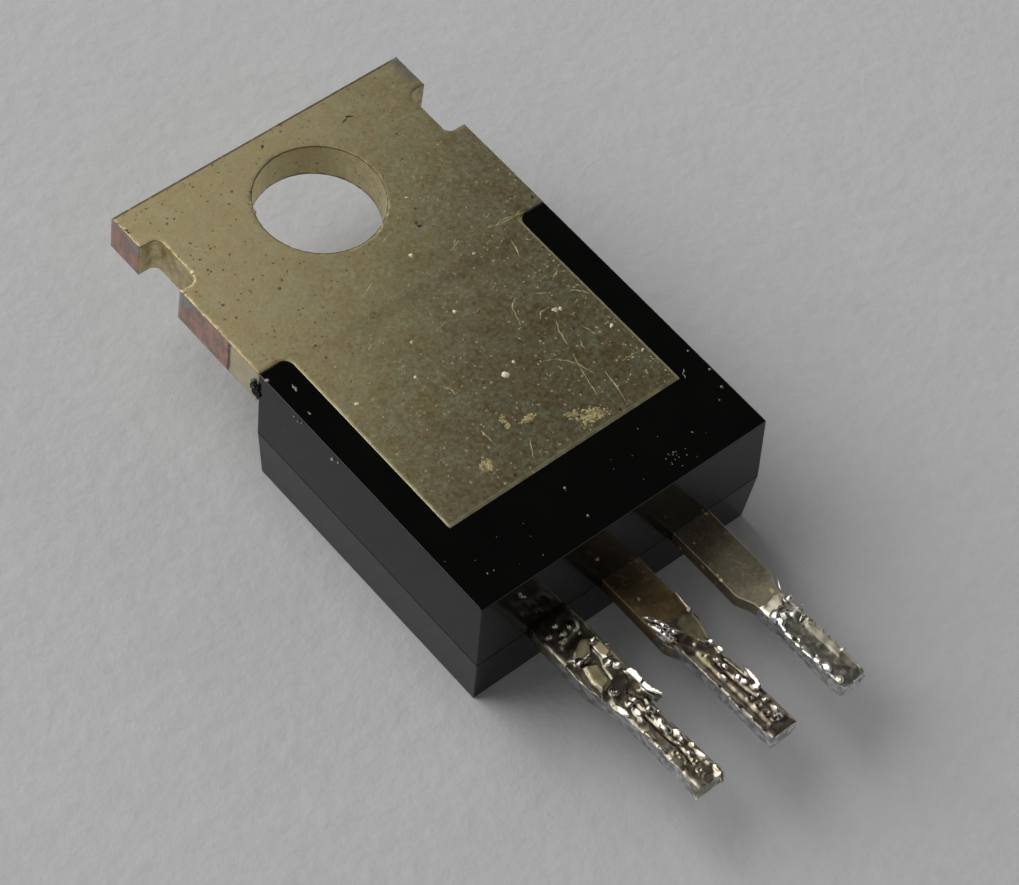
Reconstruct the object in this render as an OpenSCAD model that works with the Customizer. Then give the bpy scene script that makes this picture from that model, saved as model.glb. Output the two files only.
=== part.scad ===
// Power transistor: a moulded body on a copper tab, with three leads that were
// cut short and still carry old solder.
// The origin is the centre of the mounting hole on the tab's back face. +Y points
// to the tab's free end, -Y to the leads' tips, and +Z leaves the back face. It
// lies on the body's flat front face. All sizes are in millimetres.

/* [Tab] */
// Width of the tab
tab_w = 10; // [9:0.1:12]
// Thickness of the tab
tab_t = 1.2; // [1:0.05:1.5]
// Length of the tab that stands out of the moulded body
tab_out = 6.4; // [5:0.1:8]
// Diameter of the mounting hole
hole_d = 3.7; // [3:0.05:4.4]
// Distance from the tab's free end to the hole's centre
hole_inset = 2.75; // [2.5:0.05:3.3]
// Distance from the tab's free end to the side notches
notch_inset = 1.25; // [0.6:0.05:2]
// Length of each side notch
notch_l = 1.75; // [1:0.05:2.4]
// Depth of each side notch
notch_d = 0.6; // [0.4:0.05:0.8]
// Radius of the notches' inner corners
notch_r = 0.25; // [0.1:0.05:0.35]

/* [Moulded body] */
// Width of the body's back face
body_w = 10; // [8.3:0.1:12]
// Length of the body's back face, from the tab's side to the leads' side
body_l = 9.1; // [7.5:0.1:11]
// Height from the tab's back face to the body's front face
body_h = 4.2; // [3.8:0.1:5.1]
// Width of the plastic rim beside the tab's bare back
side_rim = 0.95; // [0.5:0.05:1.2]
// Length of plastic on the back between the tab's bare back and the leads' side
end_rim = 2.4; // [2:0.05:3]
// Radius of the rims' inner corners at the tab's side
rim_r = 0.3; // [0.1:0.05:0.4]
// Depth of the mould's parting line below the back face
parting = 2.35; // [2:0.05:2.7]
// How far the leads' side leans out from the back face to the parting line
end_lean = 0.24; // [0.05:0.01:0.4]
// How far each long side leans out from the back face to the parting line
side_lean = 0.04; // [0.01:0.01:0.2]
// How far each long side leans in from the parting line to the front face
front_side_in = 0.16; // [0.02:0.01:0.3]
// How far the leads' side leans in from the parting line to the front face
front_end_in = 0.03; // [0.01:0.01:0.3]
// How far the tab's side leans in from the back face to the front face
front_tab_in = 0.35; // [0.1:0.05:0.6]

/* [Leads] */
// Distance between neighbouring leads' centres
lead_pitch = 2.54; // [2.2:0.01:3.1]
// Thickness of the leads
lead_t = 0.45; // [0.4:0.05:0.6]
// Width of the leads next to the body
lead_wide_w = 1.28; // [1:0.02:1.5]
// Width of the leads from the shoulder to the tip
lead_narrow_w = 0.82; // [0.6:0.02:0.98]
// Length of the wide part outside the body
lead_wide_l = 2.5; // [2:0.05:3.5]
// Length over which the shoulder narrows
lead_taper_l = 0.45; // [0.2:0.05:0.8]
// Length of the leads outside the body
lead_l = 6.25; // [5:0.05:8]
// How far the tips are bent up towards the back face
lead_rise = 0.25; // [0:0.05:0.6]

/* [Bonding posts] */
// Gap between each side lead's post and the centre lead
post_gap = 0.45; // [0.3:0.05:0.8]
// How far each post reaches past its lead's outer edge
post_over = 0.5; // [0.2:0.05:0.8]
// Length of each post
post_l = 1.15; // [0.9:0.05:1.3]
// Distance in the plan from the pad's end to the posts
post_setback = 0.5; // [0.3:0.05:0.7]
// Level run of the centre lead before it steps down
neck_level = 0.4; // [0.35:0.05:0.6]
// Length over which the centre lead steps down to the leads' plane
neck_run = 0.9; // [0.7:0.05:1.1]

/* [Chip] */
// Width of the chip
die_w = 3.4; // [2.8:0.1:4.6]
// Length of the chip
die_l = 3; // [2:0.1:4]
// Thickness of the chip
die_t = 0.28; // [0.2:0.02:0.4]
// Thickness of the solder under the chip
die_solder_t = 0.06; // [0.04:0.01:0.1]
// How far the solder reaches past the chip on each side
die_solder_over = 0.15; // [0.05:0.05:0.3]
// Distance from the pad's end to the chip
die_setback = 1.3; // [0.8:0.1:2]

/* [Bond wires] */
// Diameter of the left lead's thin wire
thin_wire_d = 0.2; // [0.12:0.02:0.3]
// Diameter of the right lead's two thick wires
thick_wire_d = 0.38; // [0.3:0.02:0.42]
// Distance from the chip's edge to each wire's bond on it
die_bond_inset = 0.7; // [0.5:0.05:0.9]
// Distance from the post's inner edge to each wire's bond on it
post_bond_inset = 0.5; // [0.4:0.05:0.6]
// Distance between the two thick wires
wire_pitch = 0.8; // [0.7:0.05:1]
// How far each wire's loop bows out from the straight line between its feet
loop_bow = 0.95; // [0.8:0.05:1.1]

/* [Solder] */
// Thickness of the solder that coats the leads
solder_coat = 0.07; // [0.03:0.01:0.12]

/* [Hidden] */
$fn = 64;

copper = [0.62, 0.58, 0.46];
epoxy = [0.06, 0.06, 0.06];
silicon = [0.35, 0.37, 0.42];
soft_solder = [0.72, 0.72, 0.70];
aluminium = [0.85, 0.86, 0.87];

overrun = 1;                             // how far a cutting shape passes a face
ring_t = 0.01;                           // thickness of a solder cross-section
ring_step = 15;                          // degrees between its corners
ring_bulge = 0.45;                       // 1 makes it an ellipse, 0 a rectangle
tab_end_y = hole_inset;
shoulder_y = tab_end_y - tab_out;        // the body's tab side on the back face
back_end_y = shoulder_y - body_l;        // the body's leads' side on the back face
lead_exit_y = back_end_y - end_lean;     // the same side at the parting line
pad_end_y = back_end_y + end_rim;        // the end of the tab's bare back
pad_w = body_w - 2 * side_rim;
lead_top_z = -parting;                   // the leads' back faces lie in the parting plane
shoulder_d = lead_wide_l + lead_taper_l; // from the body to the shoulder's end
bend_y = lead_exit_y - shoulder_d;       // the tips are bent from here on
tip_y = lead_exit_y - lead_l;
post_top_y = pad_end_y - post_setback;
post_in_x = lead_wide_w / 2 + post_gap;
post_out_x = lead_pitch + lead_wide_w / 2 + post_over;
die_bottom_z = -tab_t - die_solder_t;
die_face_z = die_bottom_z - die_t;
post_face_z = lead_top_z - lead_t;
die_end_y = pad_end_y + die_setback;
die_bond_y = die_end_y + die_bond_inset;
post_bond_y = post_top_y - post_bond_inset;

// A rectangle whose listed corners are round; corner order: low-low, high-low,
// high-high, low-high
module round_corner_rect(low, high, r, corners) {
    centres = [[low.x + r, low.y + r], [high.x - r, low.y + r],
               [high.x - r, high.y - r], [low.x + r, high.y - r]];
    union() {
        translate([low.x + r, low.y]) square([high.x - low.x - 2 * r, high.y - low.y]);
        translate([low.x, low.y + r]) square([high.x - low.x, high.y - low.y - 2 * r]);
        for (i = [0:3])
            if (corners[i])
                translate(centres[i]) circle(r);
            else
                translate(centres[i] - [r, r]) square(2 * r);
    }
}

// Plan of the tab and the chip's pad in one sheet
module tab_plan() {
    notch_y = tab_end_y - notch_inset;
    fillet_r = min(rim_r, (tab_w - pad_w) / 2);
    difference() {
        union() {
            translate([-tab_w / 2, shoulder_y]) square([tab_w, tab_out]);
            translate([-pad_w / 2, pad_end_y]) square([pad_w, body_l - end_rim]);
        }
        for (side = [0, 1])
            mirror([side, 0])
                round_corner_rect([tab_w / 2 - notch_d, notch_y - notch_l],
                                  [tab_w / 2 + overrun, notch_y],
                                  notch_r, [true, false, false, true]);
    }
    if (fillet_r > 0)
        for (side = [0, 1])
            mirror([side, 0]) translate([pad_w / 2, shoulder_y - fillet_r])
                difference() {
                    square(fillet_r);
                    translate([fillet_r, 0]) circle(fillet_r);
                }
}

// Plan of one lead from start_y out to its tip, about x = 0
module lead_plan(start_y) {
    wide = lead_wide_w / 2;
    narrow = lead_narrow_w / 2;
    wide_end_y = lead_exit_y - lead_wide_l;
    polygon([[-wide, start_y], [-wide, wide_end_y], [-narrow, bend_y],
             [-narrow, tip_y], [narrow, tip_y], [narrow, bend_y],
             [wide, wide_end_y], [wide, start_y]]);
}

// A [y, z] profile extruded across the given width about x = 0
module across(width) {
    rotate([90, 0, 90]) linear_extrude(width, center = true) children();
}

// A lead that leaves the body flat and whose tip is bent up towards the back face
module flat_lead(start_y) {
    intersection() {
        translate([0, 0, -body_h]) linear_extrude(body_h) lead_plan(start_y);
        across(2 * lead_wide_w)
            polygon([[start_y, lead_top_z], [bend_y, lead_top_z],
                     [tip_y, lead_top_z + lead_rise],
                     [tip_y, post_face_z + lead_rise],
                     [bend_y, post_face_z], [start_y, post_face_z]]);
    }
}

// The part of the centre lead that steps down from the pad to the leads' plane
module neck() {
    level_z = lead_t - tab_t;
    step_y = pad_end_y - neck_level;
    foot_y = step_y - neck_run;
    slope = atan2(level_z - lead_top_z, neck_run);
    inner = lead_t * tan(slope / 2);
    across(lead_wide_w)
        polygon([[pad_end_y + overrun, level_z], [step_y, level_z],
                 [foot_y, lead_top_z], [lead_exit_y, lead_top_z],
                 [lead_exit_y, post_face_z], [foot_y + inner, post_face_z],
                 [step_y + inner, -tab_t], [pad_end_y + overrun, -tab_t]]);
}

module tab_and_centre_lead() {
    color(copper) {
        difference() {
            union() {
                translate([0, 0, -tab_t]) linear_extrude(tab_t) tab_plan();
                neck();
                flat_lead(lead_exit_y);
            }
            translate([0, 0, -tab_t - overrun])
                cylinder(d = hole_d, h = tab_t + 2 * overrun);
        }
    }
}

// A side lead with its bonding post; side is -1 for the left and 1 for the right
module side_lead(side) {
    post_w = post_out_x - post_in_x;
    union() {
        translate([side * lead_pitch, 0, 0]) flat_lead(post_top_y);
        translate([side > 0 ? post_in_x : -post_out_x, post_top_y - post_l, post_face_z])
            cube([post_w, post_l, lead_t]);
    }
}

module left_lead() {
    color(copper) side_lead(-1);
}

module right_lead() {
    color(copper) side_lead(1);
}

// The body's outer form: its side view and its end view, each extruded
module body_form() {
    half_w = body_w / 2;
    intersection() {
        across(body_w + 2 * side_lean)
            polygon([[shoulder_y, 0], [shoulder_y - front_tab_in, -body_h],
                     [lead_exit_y + front_end_in, -body_h],
                     [lead_exit_y, -parting], [back_end_y, 0]]);
        translate([0, shoulder_y + overrun, 0]) rotate([90, 0, 0])
            linear_extrude(body_l + end_lean + 2 * overrun)
                polygon([[-half_w, 0], [half_w, 0], [half_w + side_lean, -parting],
                         [half_w + side_lean - front_side_in, -body_h],
                         [-half_w - side_lean + front_side_in, -body_h],
                         [-half_w - side_lean, -parting]]);
    }
}

module moulded_body() {
    color(epoxy) difference() {
        body_form();
        tab_and_centre_lead();
        left_lead();
        right_lead();
        chip();
        chip_solder();
        left_bond_wire();
        right_bond_wire_inner();
        right_bond_wire_outer();
    }
}

module chip() {
    color(silicon) translate([-die_w / 2, die_end_y, die_face_z])
        cube([die_w, die_l, die_t]);
}

module chip_solder() {
    over = die_solder_over;
    color(soft_solder) translate([-die_w / 2 - over, die_end_y - over, die_bottom_z])
        cube([die_w + 2 * over, die_l + 2 * over, die_solder_t]);
}

// A round wire in one arc from the chip's face to a post's face, with a flattened
// foot at each end; die_x and post_x are where its two feet stand
module bond_wire(d, die_x, post_x) {
    foot_l = 2 * d;
    foot_h = 0.7 * d;
    run = norm([post_x - die_x, post_bond_y - die_bond_y]);
    drop = die_face_z - post_face_z;
    chord = norm([run, drop]);
    chord_angle = atan2(-drop, run);
    half_angle = 2 * atan(2 * loop_bow / chord);
    loop_r = chord / 2 / sin(half_angle);
    heading = atan2(post_bond_y - die_bond_y, post_x - die_x);
    difference() {
        translate([die_x, die_bond_y, die_face_z]) rotate([0, 0, heading]) {
            // local x runs from the chip to the post
            rotate([90, 0, 0]) rotate(chord_angle)
                translate([chord / 2, loop_r * cos(half_angle), 0])
                    rotate(-90 - half_angle)
                        rotate_extrude(angle = 2 * half_angle, $fn = 96)
                            translate([loop_r, 0]) circle(d = d, $fn = 24);
            translate([-foot_l / 2, -d / 2, -foot_h]) cube([foot_l, d, foot_h]);
            translate([run - foot_l / 2, -d / 2, -drop - foot_h])
                cube([foot_l, d, foot_h]);
        }
        translate([-body_w / 2, post_top_y, die_face_z])
            cube([body_w, body_l, body_h]);
        translate([-body_w / 2, post_top_y - body_l, post_face_z])
            cube([body_w, body_l, body_h]);
    }
}

module left_bond_wire() {
    color(aluminium)
        bond_wire(thin_wire_d, -wire_pitch, -lead_pitch);
}

module right_bond_wire_inner() {
    color(aluminium)
        bond_wire(thick_wire_d, wire_pitch / 2, lead_pitch - wire_pitch / 2);
}

module right_bond_wire_outer() {
    color(aluminium)
        bond_wire(thick_wire_d, wire_pitch * 3 / 2, lead_pitch + wire_pitch / 2);
}

// One cross-section of the old solder round a lead. A ring is [distance from the
// body, shift to +x, shift to +z, half width, half height], measured from the
// lead's centre line; rings lie on the bent lead
module solder_ring(ring) {
    y = lead_exit_y - ring[0];
    rise = lead_rise * max(0, (bend_y - y) / (bend_y - tip_y));
    translate([ring[1], y, lead_top_z - lead_t / 2 + rise + ring[2]])
        rotate([90, 0, 0]) linear_extrude(ring_t)
            polygon([for (a = [0:ring_step:359])
                [ring[3] * sign(cos(a)) * pow(abs(cos(a)), ring_bulge),
                 ring[4] * sign(sin(a)) * pow(abs(sin(a)), ring_bulge)]]);
}

module lead_solder(x, rings) {
    color(soft_solder) difference() {
        translate([x, 0, 0])
            for (i = [0:len(rings) - 2])
                hull() {
                    solder_ring(rings[i]);
                    solder_ring(rings[i + 1]);
                }
        translate([x, 0, 0]) flat_lead(pad_end_y);
    }
}

wide_coat = lead_wide_w / 2 + solder_coat;
narrow_coat = lead_narrow_w / 2 + solder_coat;
flat_coat = lead_t / 2 + solder_coat;

module left_lead_solder() {
    lead_solder(-lead_pitch,
        [[0.15, 0, 0.05, wide_coat, flat_coat + 0.08],
         [lead_wide_l - 1, 0, 0.1, wide_coat, flat_coat + 0.14],
         [lead_wide_l, 0.08, 0.08, wide_coat + 0.03, flat_coat + 0.12],
         [shoulder_d, 0.12, 0.06, narrow_coat + 0.18, flat_coat + 0.1],
         [shoulder_d + 1, 0.04, 0.05, narrow_coat + 0.06, flat_coat + 0.08],
         [lead_l + 0.12, 0, 0, narrow_coat - 0.03, flat_coat]]);
}

module centre_lead_solder() {
    lead_solder(0,
        [[lead_wide_l - 0.95, 0, 0.02, wide_coat, flat_coat],
         [lead_wide_l, 0.02, 0.08, wide_coat, flat_coat + 0.1],
         [shoulder_d, 0, 0.06, narrow_coat + 0.06, flat_coat + 0.08],
         [lead_l, 0, 0.04, narrow_coat + 0.03, flat_coat + 0.06]]);
}

module right_lead_solder() {
    lead_solder(lead_pitch,
        [[lead_wide_l + 0.3, 0.05, 0.02, narrow_coat + 0.05, flat_coat],
         [shoulder_d + 0.5, 0.1, 0.1, narrow_coat + 0.1, flat_coat + 0.12],
         [shoulder_d + 1.5, 0, 0.06, narrow_coat + 0.03, flat_coat + 0.08],
         [lead_l + 0.12, 0, 0.02, narrow_coat, flat_coat + 0.04]]);
}

tab_and_centre_lead();
left_lead();
right_lead();
moulded_body();
chip();
chip_solder();
left_bond_wire();
right_bond_wire_inner();
right_bond_wire_outer();
left_lead_solder();
centre_lead_solder();
right_lead_solder();
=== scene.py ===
import math
import random
from types import SimpleNamespace

import bmesh
import bpy
import numpy as np
from mathutils import Matrix, Vector, geometry, noise


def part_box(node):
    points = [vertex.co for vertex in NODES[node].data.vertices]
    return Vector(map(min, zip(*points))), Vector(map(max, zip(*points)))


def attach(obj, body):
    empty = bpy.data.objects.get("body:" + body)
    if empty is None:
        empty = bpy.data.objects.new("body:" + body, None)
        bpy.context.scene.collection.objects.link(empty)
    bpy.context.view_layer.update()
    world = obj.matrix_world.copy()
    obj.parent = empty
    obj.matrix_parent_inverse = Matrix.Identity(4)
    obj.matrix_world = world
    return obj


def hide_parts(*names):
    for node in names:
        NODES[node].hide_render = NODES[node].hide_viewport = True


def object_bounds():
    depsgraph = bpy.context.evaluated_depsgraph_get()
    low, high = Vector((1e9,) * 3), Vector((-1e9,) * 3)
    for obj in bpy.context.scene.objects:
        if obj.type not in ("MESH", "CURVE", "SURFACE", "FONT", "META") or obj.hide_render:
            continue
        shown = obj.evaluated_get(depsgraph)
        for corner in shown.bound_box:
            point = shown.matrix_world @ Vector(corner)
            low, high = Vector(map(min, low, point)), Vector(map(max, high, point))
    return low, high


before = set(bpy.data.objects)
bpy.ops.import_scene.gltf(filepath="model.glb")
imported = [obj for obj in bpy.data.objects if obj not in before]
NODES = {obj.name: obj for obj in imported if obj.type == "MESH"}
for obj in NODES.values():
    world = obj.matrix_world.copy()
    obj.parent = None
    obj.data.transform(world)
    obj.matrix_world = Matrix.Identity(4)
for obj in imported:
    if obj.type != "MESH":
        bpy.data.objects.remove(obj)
cad_low, cad_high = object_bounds()

MM = 0.001
SEED = 3

# A lead's thickness, and how far from the body its shoulder and its tip are.
LEAD_THICKNESS = 0.45
SHOULDER = 2.95
TIP = 6.25


# ---------------------------------------------------------------- camera, floor and light

CAMERA_AZIMUTH = -50.1
CAMERA_ELEVATION = 54.65
CAMERA_ROLL = 11.5
CAMERA_DISTANCE = 91.9
CAMERA_LENS = 123.9
CAMERA_SENSOR = 36.0
CAMERA_FARTHEST = 10.0
AIM_FROM_HOLE = Vector((-1.04, -9.22, 0.0))

FLOOR_SIZE = 1.6
FLOOR_GREY = 0.40

KEY_DIRECTION = Vector((-0.367, 0.736, 0.568))
KEY_DISTANCE = 0.6
KEY_SIZE = 0.7
KEY_RADIANCE = 4.3
# The room's grey at heights from 0, the horizon, to 1, overhead.
ROOM_LIGHT = ((0.0, 1.0), (0.35, 1.0), (0.7, 0.03))


def add_to_scene(name, data):
    made = bpy.data.objects.new(name, data)
    bpy.context.scene.collection.objects.link(made)
    return made


def add_camera():
    azimuth = math.radians(CAMERA_AZIMUTH)
    elevation = math.radians(CAMERA_ELEVATION)
    back = Vector((
        math.sin(azimuth) * math.cos(elevation),
        -math.cos(azimuth) * math.cos(elevation),
        math.sin(elevation),
    ))
    data = bpy.data.cameras.new("camera")
    data.lens = CAMERA_LENS
    data.sensor_width = CAMERA_SENSOR
    data.sensor_fit = "HORIZONTAL"
    data.clip_start = MM
    data.clip_end = CAMERA_FARTHEST
    camera = add_to_scene("camera", data)
    facing = back.to_track_quat("Z", "Y").to_matrix().to_4x4()
    camera.matrix_world = facing @ Matrix.Rotation(math.radians(CAMERA_ROLL), 4, "Z")
    camera.location = (AIM_FROM_HOLE + back * CAMERA_DISTANCE) * MM
    bpy.context.scene.camera = camera


def add_key_light():
    data = bpy.data.lights.new("window", "AREA")
    data.shape = "SQUARE"
    data.size = KEY_SIZE
    data.energy = KEY_RADIANCE * math.pi * KEY_SIZE * KEY_SIZE
    light = add_to_scene("window", data)
    toward = KEY_DIRECTION.normalized()
    light.rotation_euler = toward.to_track_quat("Z", "Y").to_euler()
    light.location = toward * KEY_DISTANCE


def add_room():
    """A dim room: paler round the horizon, dark overhead."""
    world = bpy.data.worlds.new("room")
    bpy.context.scene.world = world
    world.use_nodes = True
    nodes = world.node_tree.nodes
    links = world.node_tree.links
    place = nodes.new("ShaderNodeTexCoord")
    split = nodes.new("ShaderNodeSeparateXYZ")
    ramp = nodes.new("ShaderNodeValToRGB")
    stops = ramp.color_ramp.elements
    stops.remove(stops[1])
    for position, grey in ROOM_LIGHT:
        stop = stops[0] if position == 0 else stops.new(position)
        stop.color = (grey, grey, grey, 1)
    links.new(place.outputs["Generated"], split.inputs[0])
    links.new(split.outputs["Z"], ramp.inputs[0])
    links.new(ramp.outputs[0], nodes["Background"].inputs["Color"])


# ---------------------------------------------------------------- node materials


def srgb(r, g, b):
    """A colour given as it looks on screen, from 0 to 255, as the linear colour that a shader takes."""
    def linear(value):
        share = value / 255
        return share / 12.92 if share <= 0.04045 else ((share + 0.055) / 1.055) ** 2.4

    return (linear(r), linear(g), linear(b), 1.0)


class Value:
    """A node's output. Arithmetic on it adds a maths node, and gives that node's output."""

    def __init__(self, paint, socket):
        self.paint = paint
        self.socket = socket

    def __add__(self, other):
        return self.paint.maths("ADD", self, other)

    def __radd__(self, other):
        return self.paint.maths("ADD", other, self)

    def __sub__(self, other):
        return self.paint.maths("SUBTRACT", self, other)

    def __rsub__(self, other):
        return self.paint.maths("SUBTRACT", other, self)

    def __mul__(self, other):
        return self.paint.maths("MULTIPLY", self, other)


class Paint:
    """A material's nodes, with short ways to add them. Places are in millimetres in the row frame."""

    def __init__(self, name, metallic, specular=0.5):
        self.material = bpy.data.materials.new(name)
        self.material.use_nodes = True
        self.tree = self.material.node_tree
        self.shader = self.tree.nodes["Principled BSDF"].inputs
        self.shader["Metallic"].default_value = metallic
        self.shader["Specular IOR Level"].default_value = specular
        self.place = self.stretch(self.outputs("TexCoord")["Object"], (1 / MM, 1 / MM, 1 / MM))
        self.x, self.y, self.z = self.split(self.place)

    def feed(self, socket, value):
        """Links a node's output to the socket, or sets the socket to a plain number or colour."""
        if isinstance(value, Value):
            self.tree.links.new(value.socket, socket)
        else:
            socket.default_value = value

    def outputs(self, kind, inputs=None, **settings):
        """Adds a node; inputs are by name or number. Gives its outputs by name."""
        node = self.tree.nodes.new("ShaderNode" + kind)
        for name, value in settings.items():
            setattr(node, name, value)
        for key, value in (inputs or {}).items():
            self.feed(node.inputs[key], value)
        return {output.name: Value(self, output) for output in node.outputs if output.enabled}

    def output(self, kind, inputs=None, **settings):
        """Adds a node and gives its first output."""
        return next(iter(self.outputs(kind, inputs, **settings).values()))

    def split(self, vector):
        return self.outputs("SeparateXYZ", {0: vector}).values()

    def stretch(self, place, factors, turn=0.0):
        """The place turned about Z, then scaled."""
        if turn:
            place = self.output("Mapping", {"Vector": place, "Rotation": (0, 0, math.radians(turn))})
        return self.output("Mapping", {"Vector": place, "Scale": factors})

    def maths(self, operation, *values):
        return self.output("Math", dict(enumerate(values)), operation=operation)

    def either(self, a, b):
        return self.maths("MAXIMUM", a, b)

    def between(self, factor, low, high):
        """A number that goes from low to high with factor."""
        return self.maths("MULTIPLY_ADD", factor, high - low, low)

    def from_axis(self):
        """The distance from the hole's axis."""
        return self.maths("SQRT", self.x * self.x + self.y * self.y)

    def step(self, value, start, end, rise="SMOOTHSTEP"):
        """0 before start and 1 after end; start may be the larger of the two."""
        low, high, first, last = (start, end, 0, 1) if start < end else (end, start, 1, 0)
        limits = {"From Min": low, "From Max": high, "To Min": first, "To Max": last}
        return self.output("MapRange", {"Value": value, **limits}, interpolation_type=rise)

    def noise(self, size, detail=3, roughness=0.6, place=None, warp=0.0):
        """Noise from 0 to 1 whose patches are about size millimetres across."""
        grain = {"Scale": 1 / size, "Detail": detail, "Roughness": roughness, "Distortion": warp}
        return self.output("TexNoise", {"Vector": place or self.place, **grain})

    def drawn_noise(self, factors, detail=3, roughness=0.6):
        """Noise squeezed by a factor along each axis, so that it runs along the axis of the smallest."""
        return self.noise(1.0, detail, roughness, self.stretch(self.place, factors))

    def dots(self, spacing, radius, share):
        """Uneven dots: a share of the cells that are spacing millimetres across has one."""
        shake = self.outputs("TexNoise", {"Vector": self.place, "Scale": 0.7 / radius})["Color"]
        moved = {0: shake, 1: (3 * radius,) * 3, 2: self.place}
        shaken = self.output("VectorMath", moved, operation="MULTIPLY_ADD")
        cells = self.outputs("TexVoronoi", {"Vector": shaken, "Scale": 1 / spacing})
        pick, swell, _ = self.split(cells["Color"])
        chosen = self.step(pick, share, share * 0.9)
        size = (swell + 0.35) * (radius / spacing)
        return self.maths("LESS_THAN", cells["Distance"], size) * chosen

    def scratches(self, length, width, turn, amount):
        """Thin straight marks along one direction; amount, from 0 to 1, sets how many."""
        place = self.stretch(self.place, (1 / length, 1 / width, 1 / length), turn)
        fewer = 0.22 * amount
        return self.step(self.noise(1.0, 1, 0.5, place), 0.80 - fewer, 0.86 - fewer)

    def oval(self, x, y, long, wide, turn=0.0, soft=0.3):
        """1 in an oval patch and 0 outside it; long is its half length, along Y before the turn."""
        cosine, sine = math.cos(math.radians(turn)), math.sin(math.radians(turn))
        across, along = self.x - x, self.y - y
        u = across * (cosine / wide) + along * (sine / wide)
        v = across * (-sine / long) + along * (cosine / long)
        ragged = self.between(self.noise(0.35 * wide), -0.6, 0.6)
        return self.step(u * u + v * v + ragged, 1 + soft, 1 - soft)

    def leaning(self, axis, start, end):
        """0 to 1 as the normal's part along the axis, without its sign, goes from start to end."""
        normal = self.outputs("NewGeometry")["Normal"]
        facing = self.outputs("SeparateXYZ", {0: normal})[axis]
        return self.step(self.maths("ABSOLUTE", facing), start, end)

    def upright(self):
        """1 where the surface is a wall, 0 where it is level."""
        return self.leaning("Z", 0.75, 0.45)

    def mix(self, factor, a, b, blend="MIX"):
        """Colour a where factor is 0, and b where it is 1."""
        return self.output("Mix", {0: factor, 6: a, 7: b}, data_type="RGBA", blend_type=blend)

    def shade(self, colour, factor):
        """The colour multiplied by a number."""
        return self.mix(1.0, colour, self.output("CombineColor", dict.fromkeys(range(3), factor)), "MULTIPLY")

    def vary(self, colour, pattern, low, high):
        """The colour multiplied by low to high as the pattern goes from 0 to 1."""
        return self.shade(colour, self.between(pattern, low, high))

    def bump(self, height, depth, strength=1.0, after=None):
        """Relief: depth is in millimetres for a height of 1."""
        before = {"Normal": after} if after else {}
        return self.output("Bump", {"Height": height, "Distance": depth * MM, "Strength": strength, **before})

    def finish(self, colour, roughness, normal):
        for name, value in (("Base Color", colour), ("Roughness", roughness), ("Normal", normal)):
            self.feed(self.shader[name], value)
        return self.material


# ---------------------------------------------------------------- what each part is made of

PLATING = srgb(194, 177, 132)
PLATING_GREY = srgb(175, 172, 138)
PLATING_STAIN = srgb(186, 150, 112)
PLATED_WALL = srgb(232, 222, 196)
WORN_CORNER = srgb(128, 130, 122)
TAB_CRUMB = srgb(150, 135, 98)
# How light the tab's plating is where it is new, and beside the right-hand lead, where tarnish and painted
# shade darken it.
TAB_NEW = 0.97
TAB_TARNISHED_AND_SHADED = 0.42
HOLE_WALL = 1.35
CORNER = (4.55, 1.5)

NOTCH_DIRT = (srgb(172, 158, 116), srgb(216, 202, 158))
NOTCH = (4.0, -0.6)
COPPER = (srgb(188, 152, 138), srgb(158, 140, 134))
SILVER = srgb(168, 166, 160)
SHEAR_SEAM = srgb(70, 56, 44)
SHEAR_START = -2.45
SHEAR_MIDDLE = 0.2
SMEAR_START = -1.0

EPOXY = (0.0010, 0.0010, 0.0009, 1)
EPOXY_PALE = (0.0022, 0.0022, 0.0019, 1)
EPOXY_GRAIN = (0.010, 0.010, 0.008, 1)
EPOXY_DUST = srgb(90, 88, 80)

LEFT_TONES = (srgb(70, 62, 46), srgb(130, 120, 92), srgb(150, 142, 112))
CENTRE_TONES = (srgb(96, 84, 64), srgb(116, 96, 66), srgb(140, 132, 106))
RIGHT_TONES = (srgb(126, 115, 98), srgb(132, 125, 104), srgb(164, 156, 130))
LEAD_SPECK = srgb(226, 206, 160)
LEFT_GLOSS = 0.40
OTHER_GLOSS = 0.46

SOLDER_WALL = srgb(222, 224, 224)
# Dark flux residue and painted shade in the solder's hollows.
SOLDER_RESIDUE_AND_SHADE = srgb(56, 38, 32)
SOLDER_SOOT = srgb(138, 131, 116)

# Each lead's solder: the tones of its lumps, of its low places and of its dull patches; those patches,
# each (d, across, half length, half width, turn); how light its walls are; and where the soot beside the
# body ends and the soot at the tip begins. These two, and d, are distances from the body.
SOLDER_LOOKS = {
    "left": SimpleNamespace(
        tones=(srgb(162, 156, 144), srgb(130, 122, 106), srgb(144, 134, 104)),
        dull=((2.12, -0.19, 0.45, 0.20, -10), (1.30, 0.0, 0.30, 0.18, -60), (1.60, 0.42, 0.28, 0.13, 5)),
        walls=0.95, sooty=0.95, charred=6.0,
    ),
    "centre": SimpleNamespace(
        tones=(srgb(198, 190, 186), srgb(120, 110, 97), srgb(146, 138, 110)),
        dull=((2.55, 0.30, 0.50, 0.34, 12), (3.4, -0.2, 0.3, 0.2, 0)),
        walls=1.15, sooty=0.0, charred=9.0,
    ),
    "right": SimpleNamespace(
        tones=(srgb(178, 178, 172), srgb(166, 161, 148), srgb(170, 163, 144)),
        dull=((3.30, 0.0, 0.25, 0.40, 18), (5.15, 0.27, 1.1, 0.17, 0)),
        walls=1.25, sooty=0.0, charred=9.0,
    ),
}


def wear_and_shade_of_tab(p):
    """0 at the hole's left, where the plating is new, to 1 beside the right-hand lead, where it is tarnished
    and darkened by painted shade.
    """
    uneven = p.between(p.noise(1.6, 3, 0.5, warp=0.5), -0.13, 0.13)
    return p.step(p.x * 0.09 + p.y * -0.10 + uneven, -0.32, 1.0)


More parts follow.
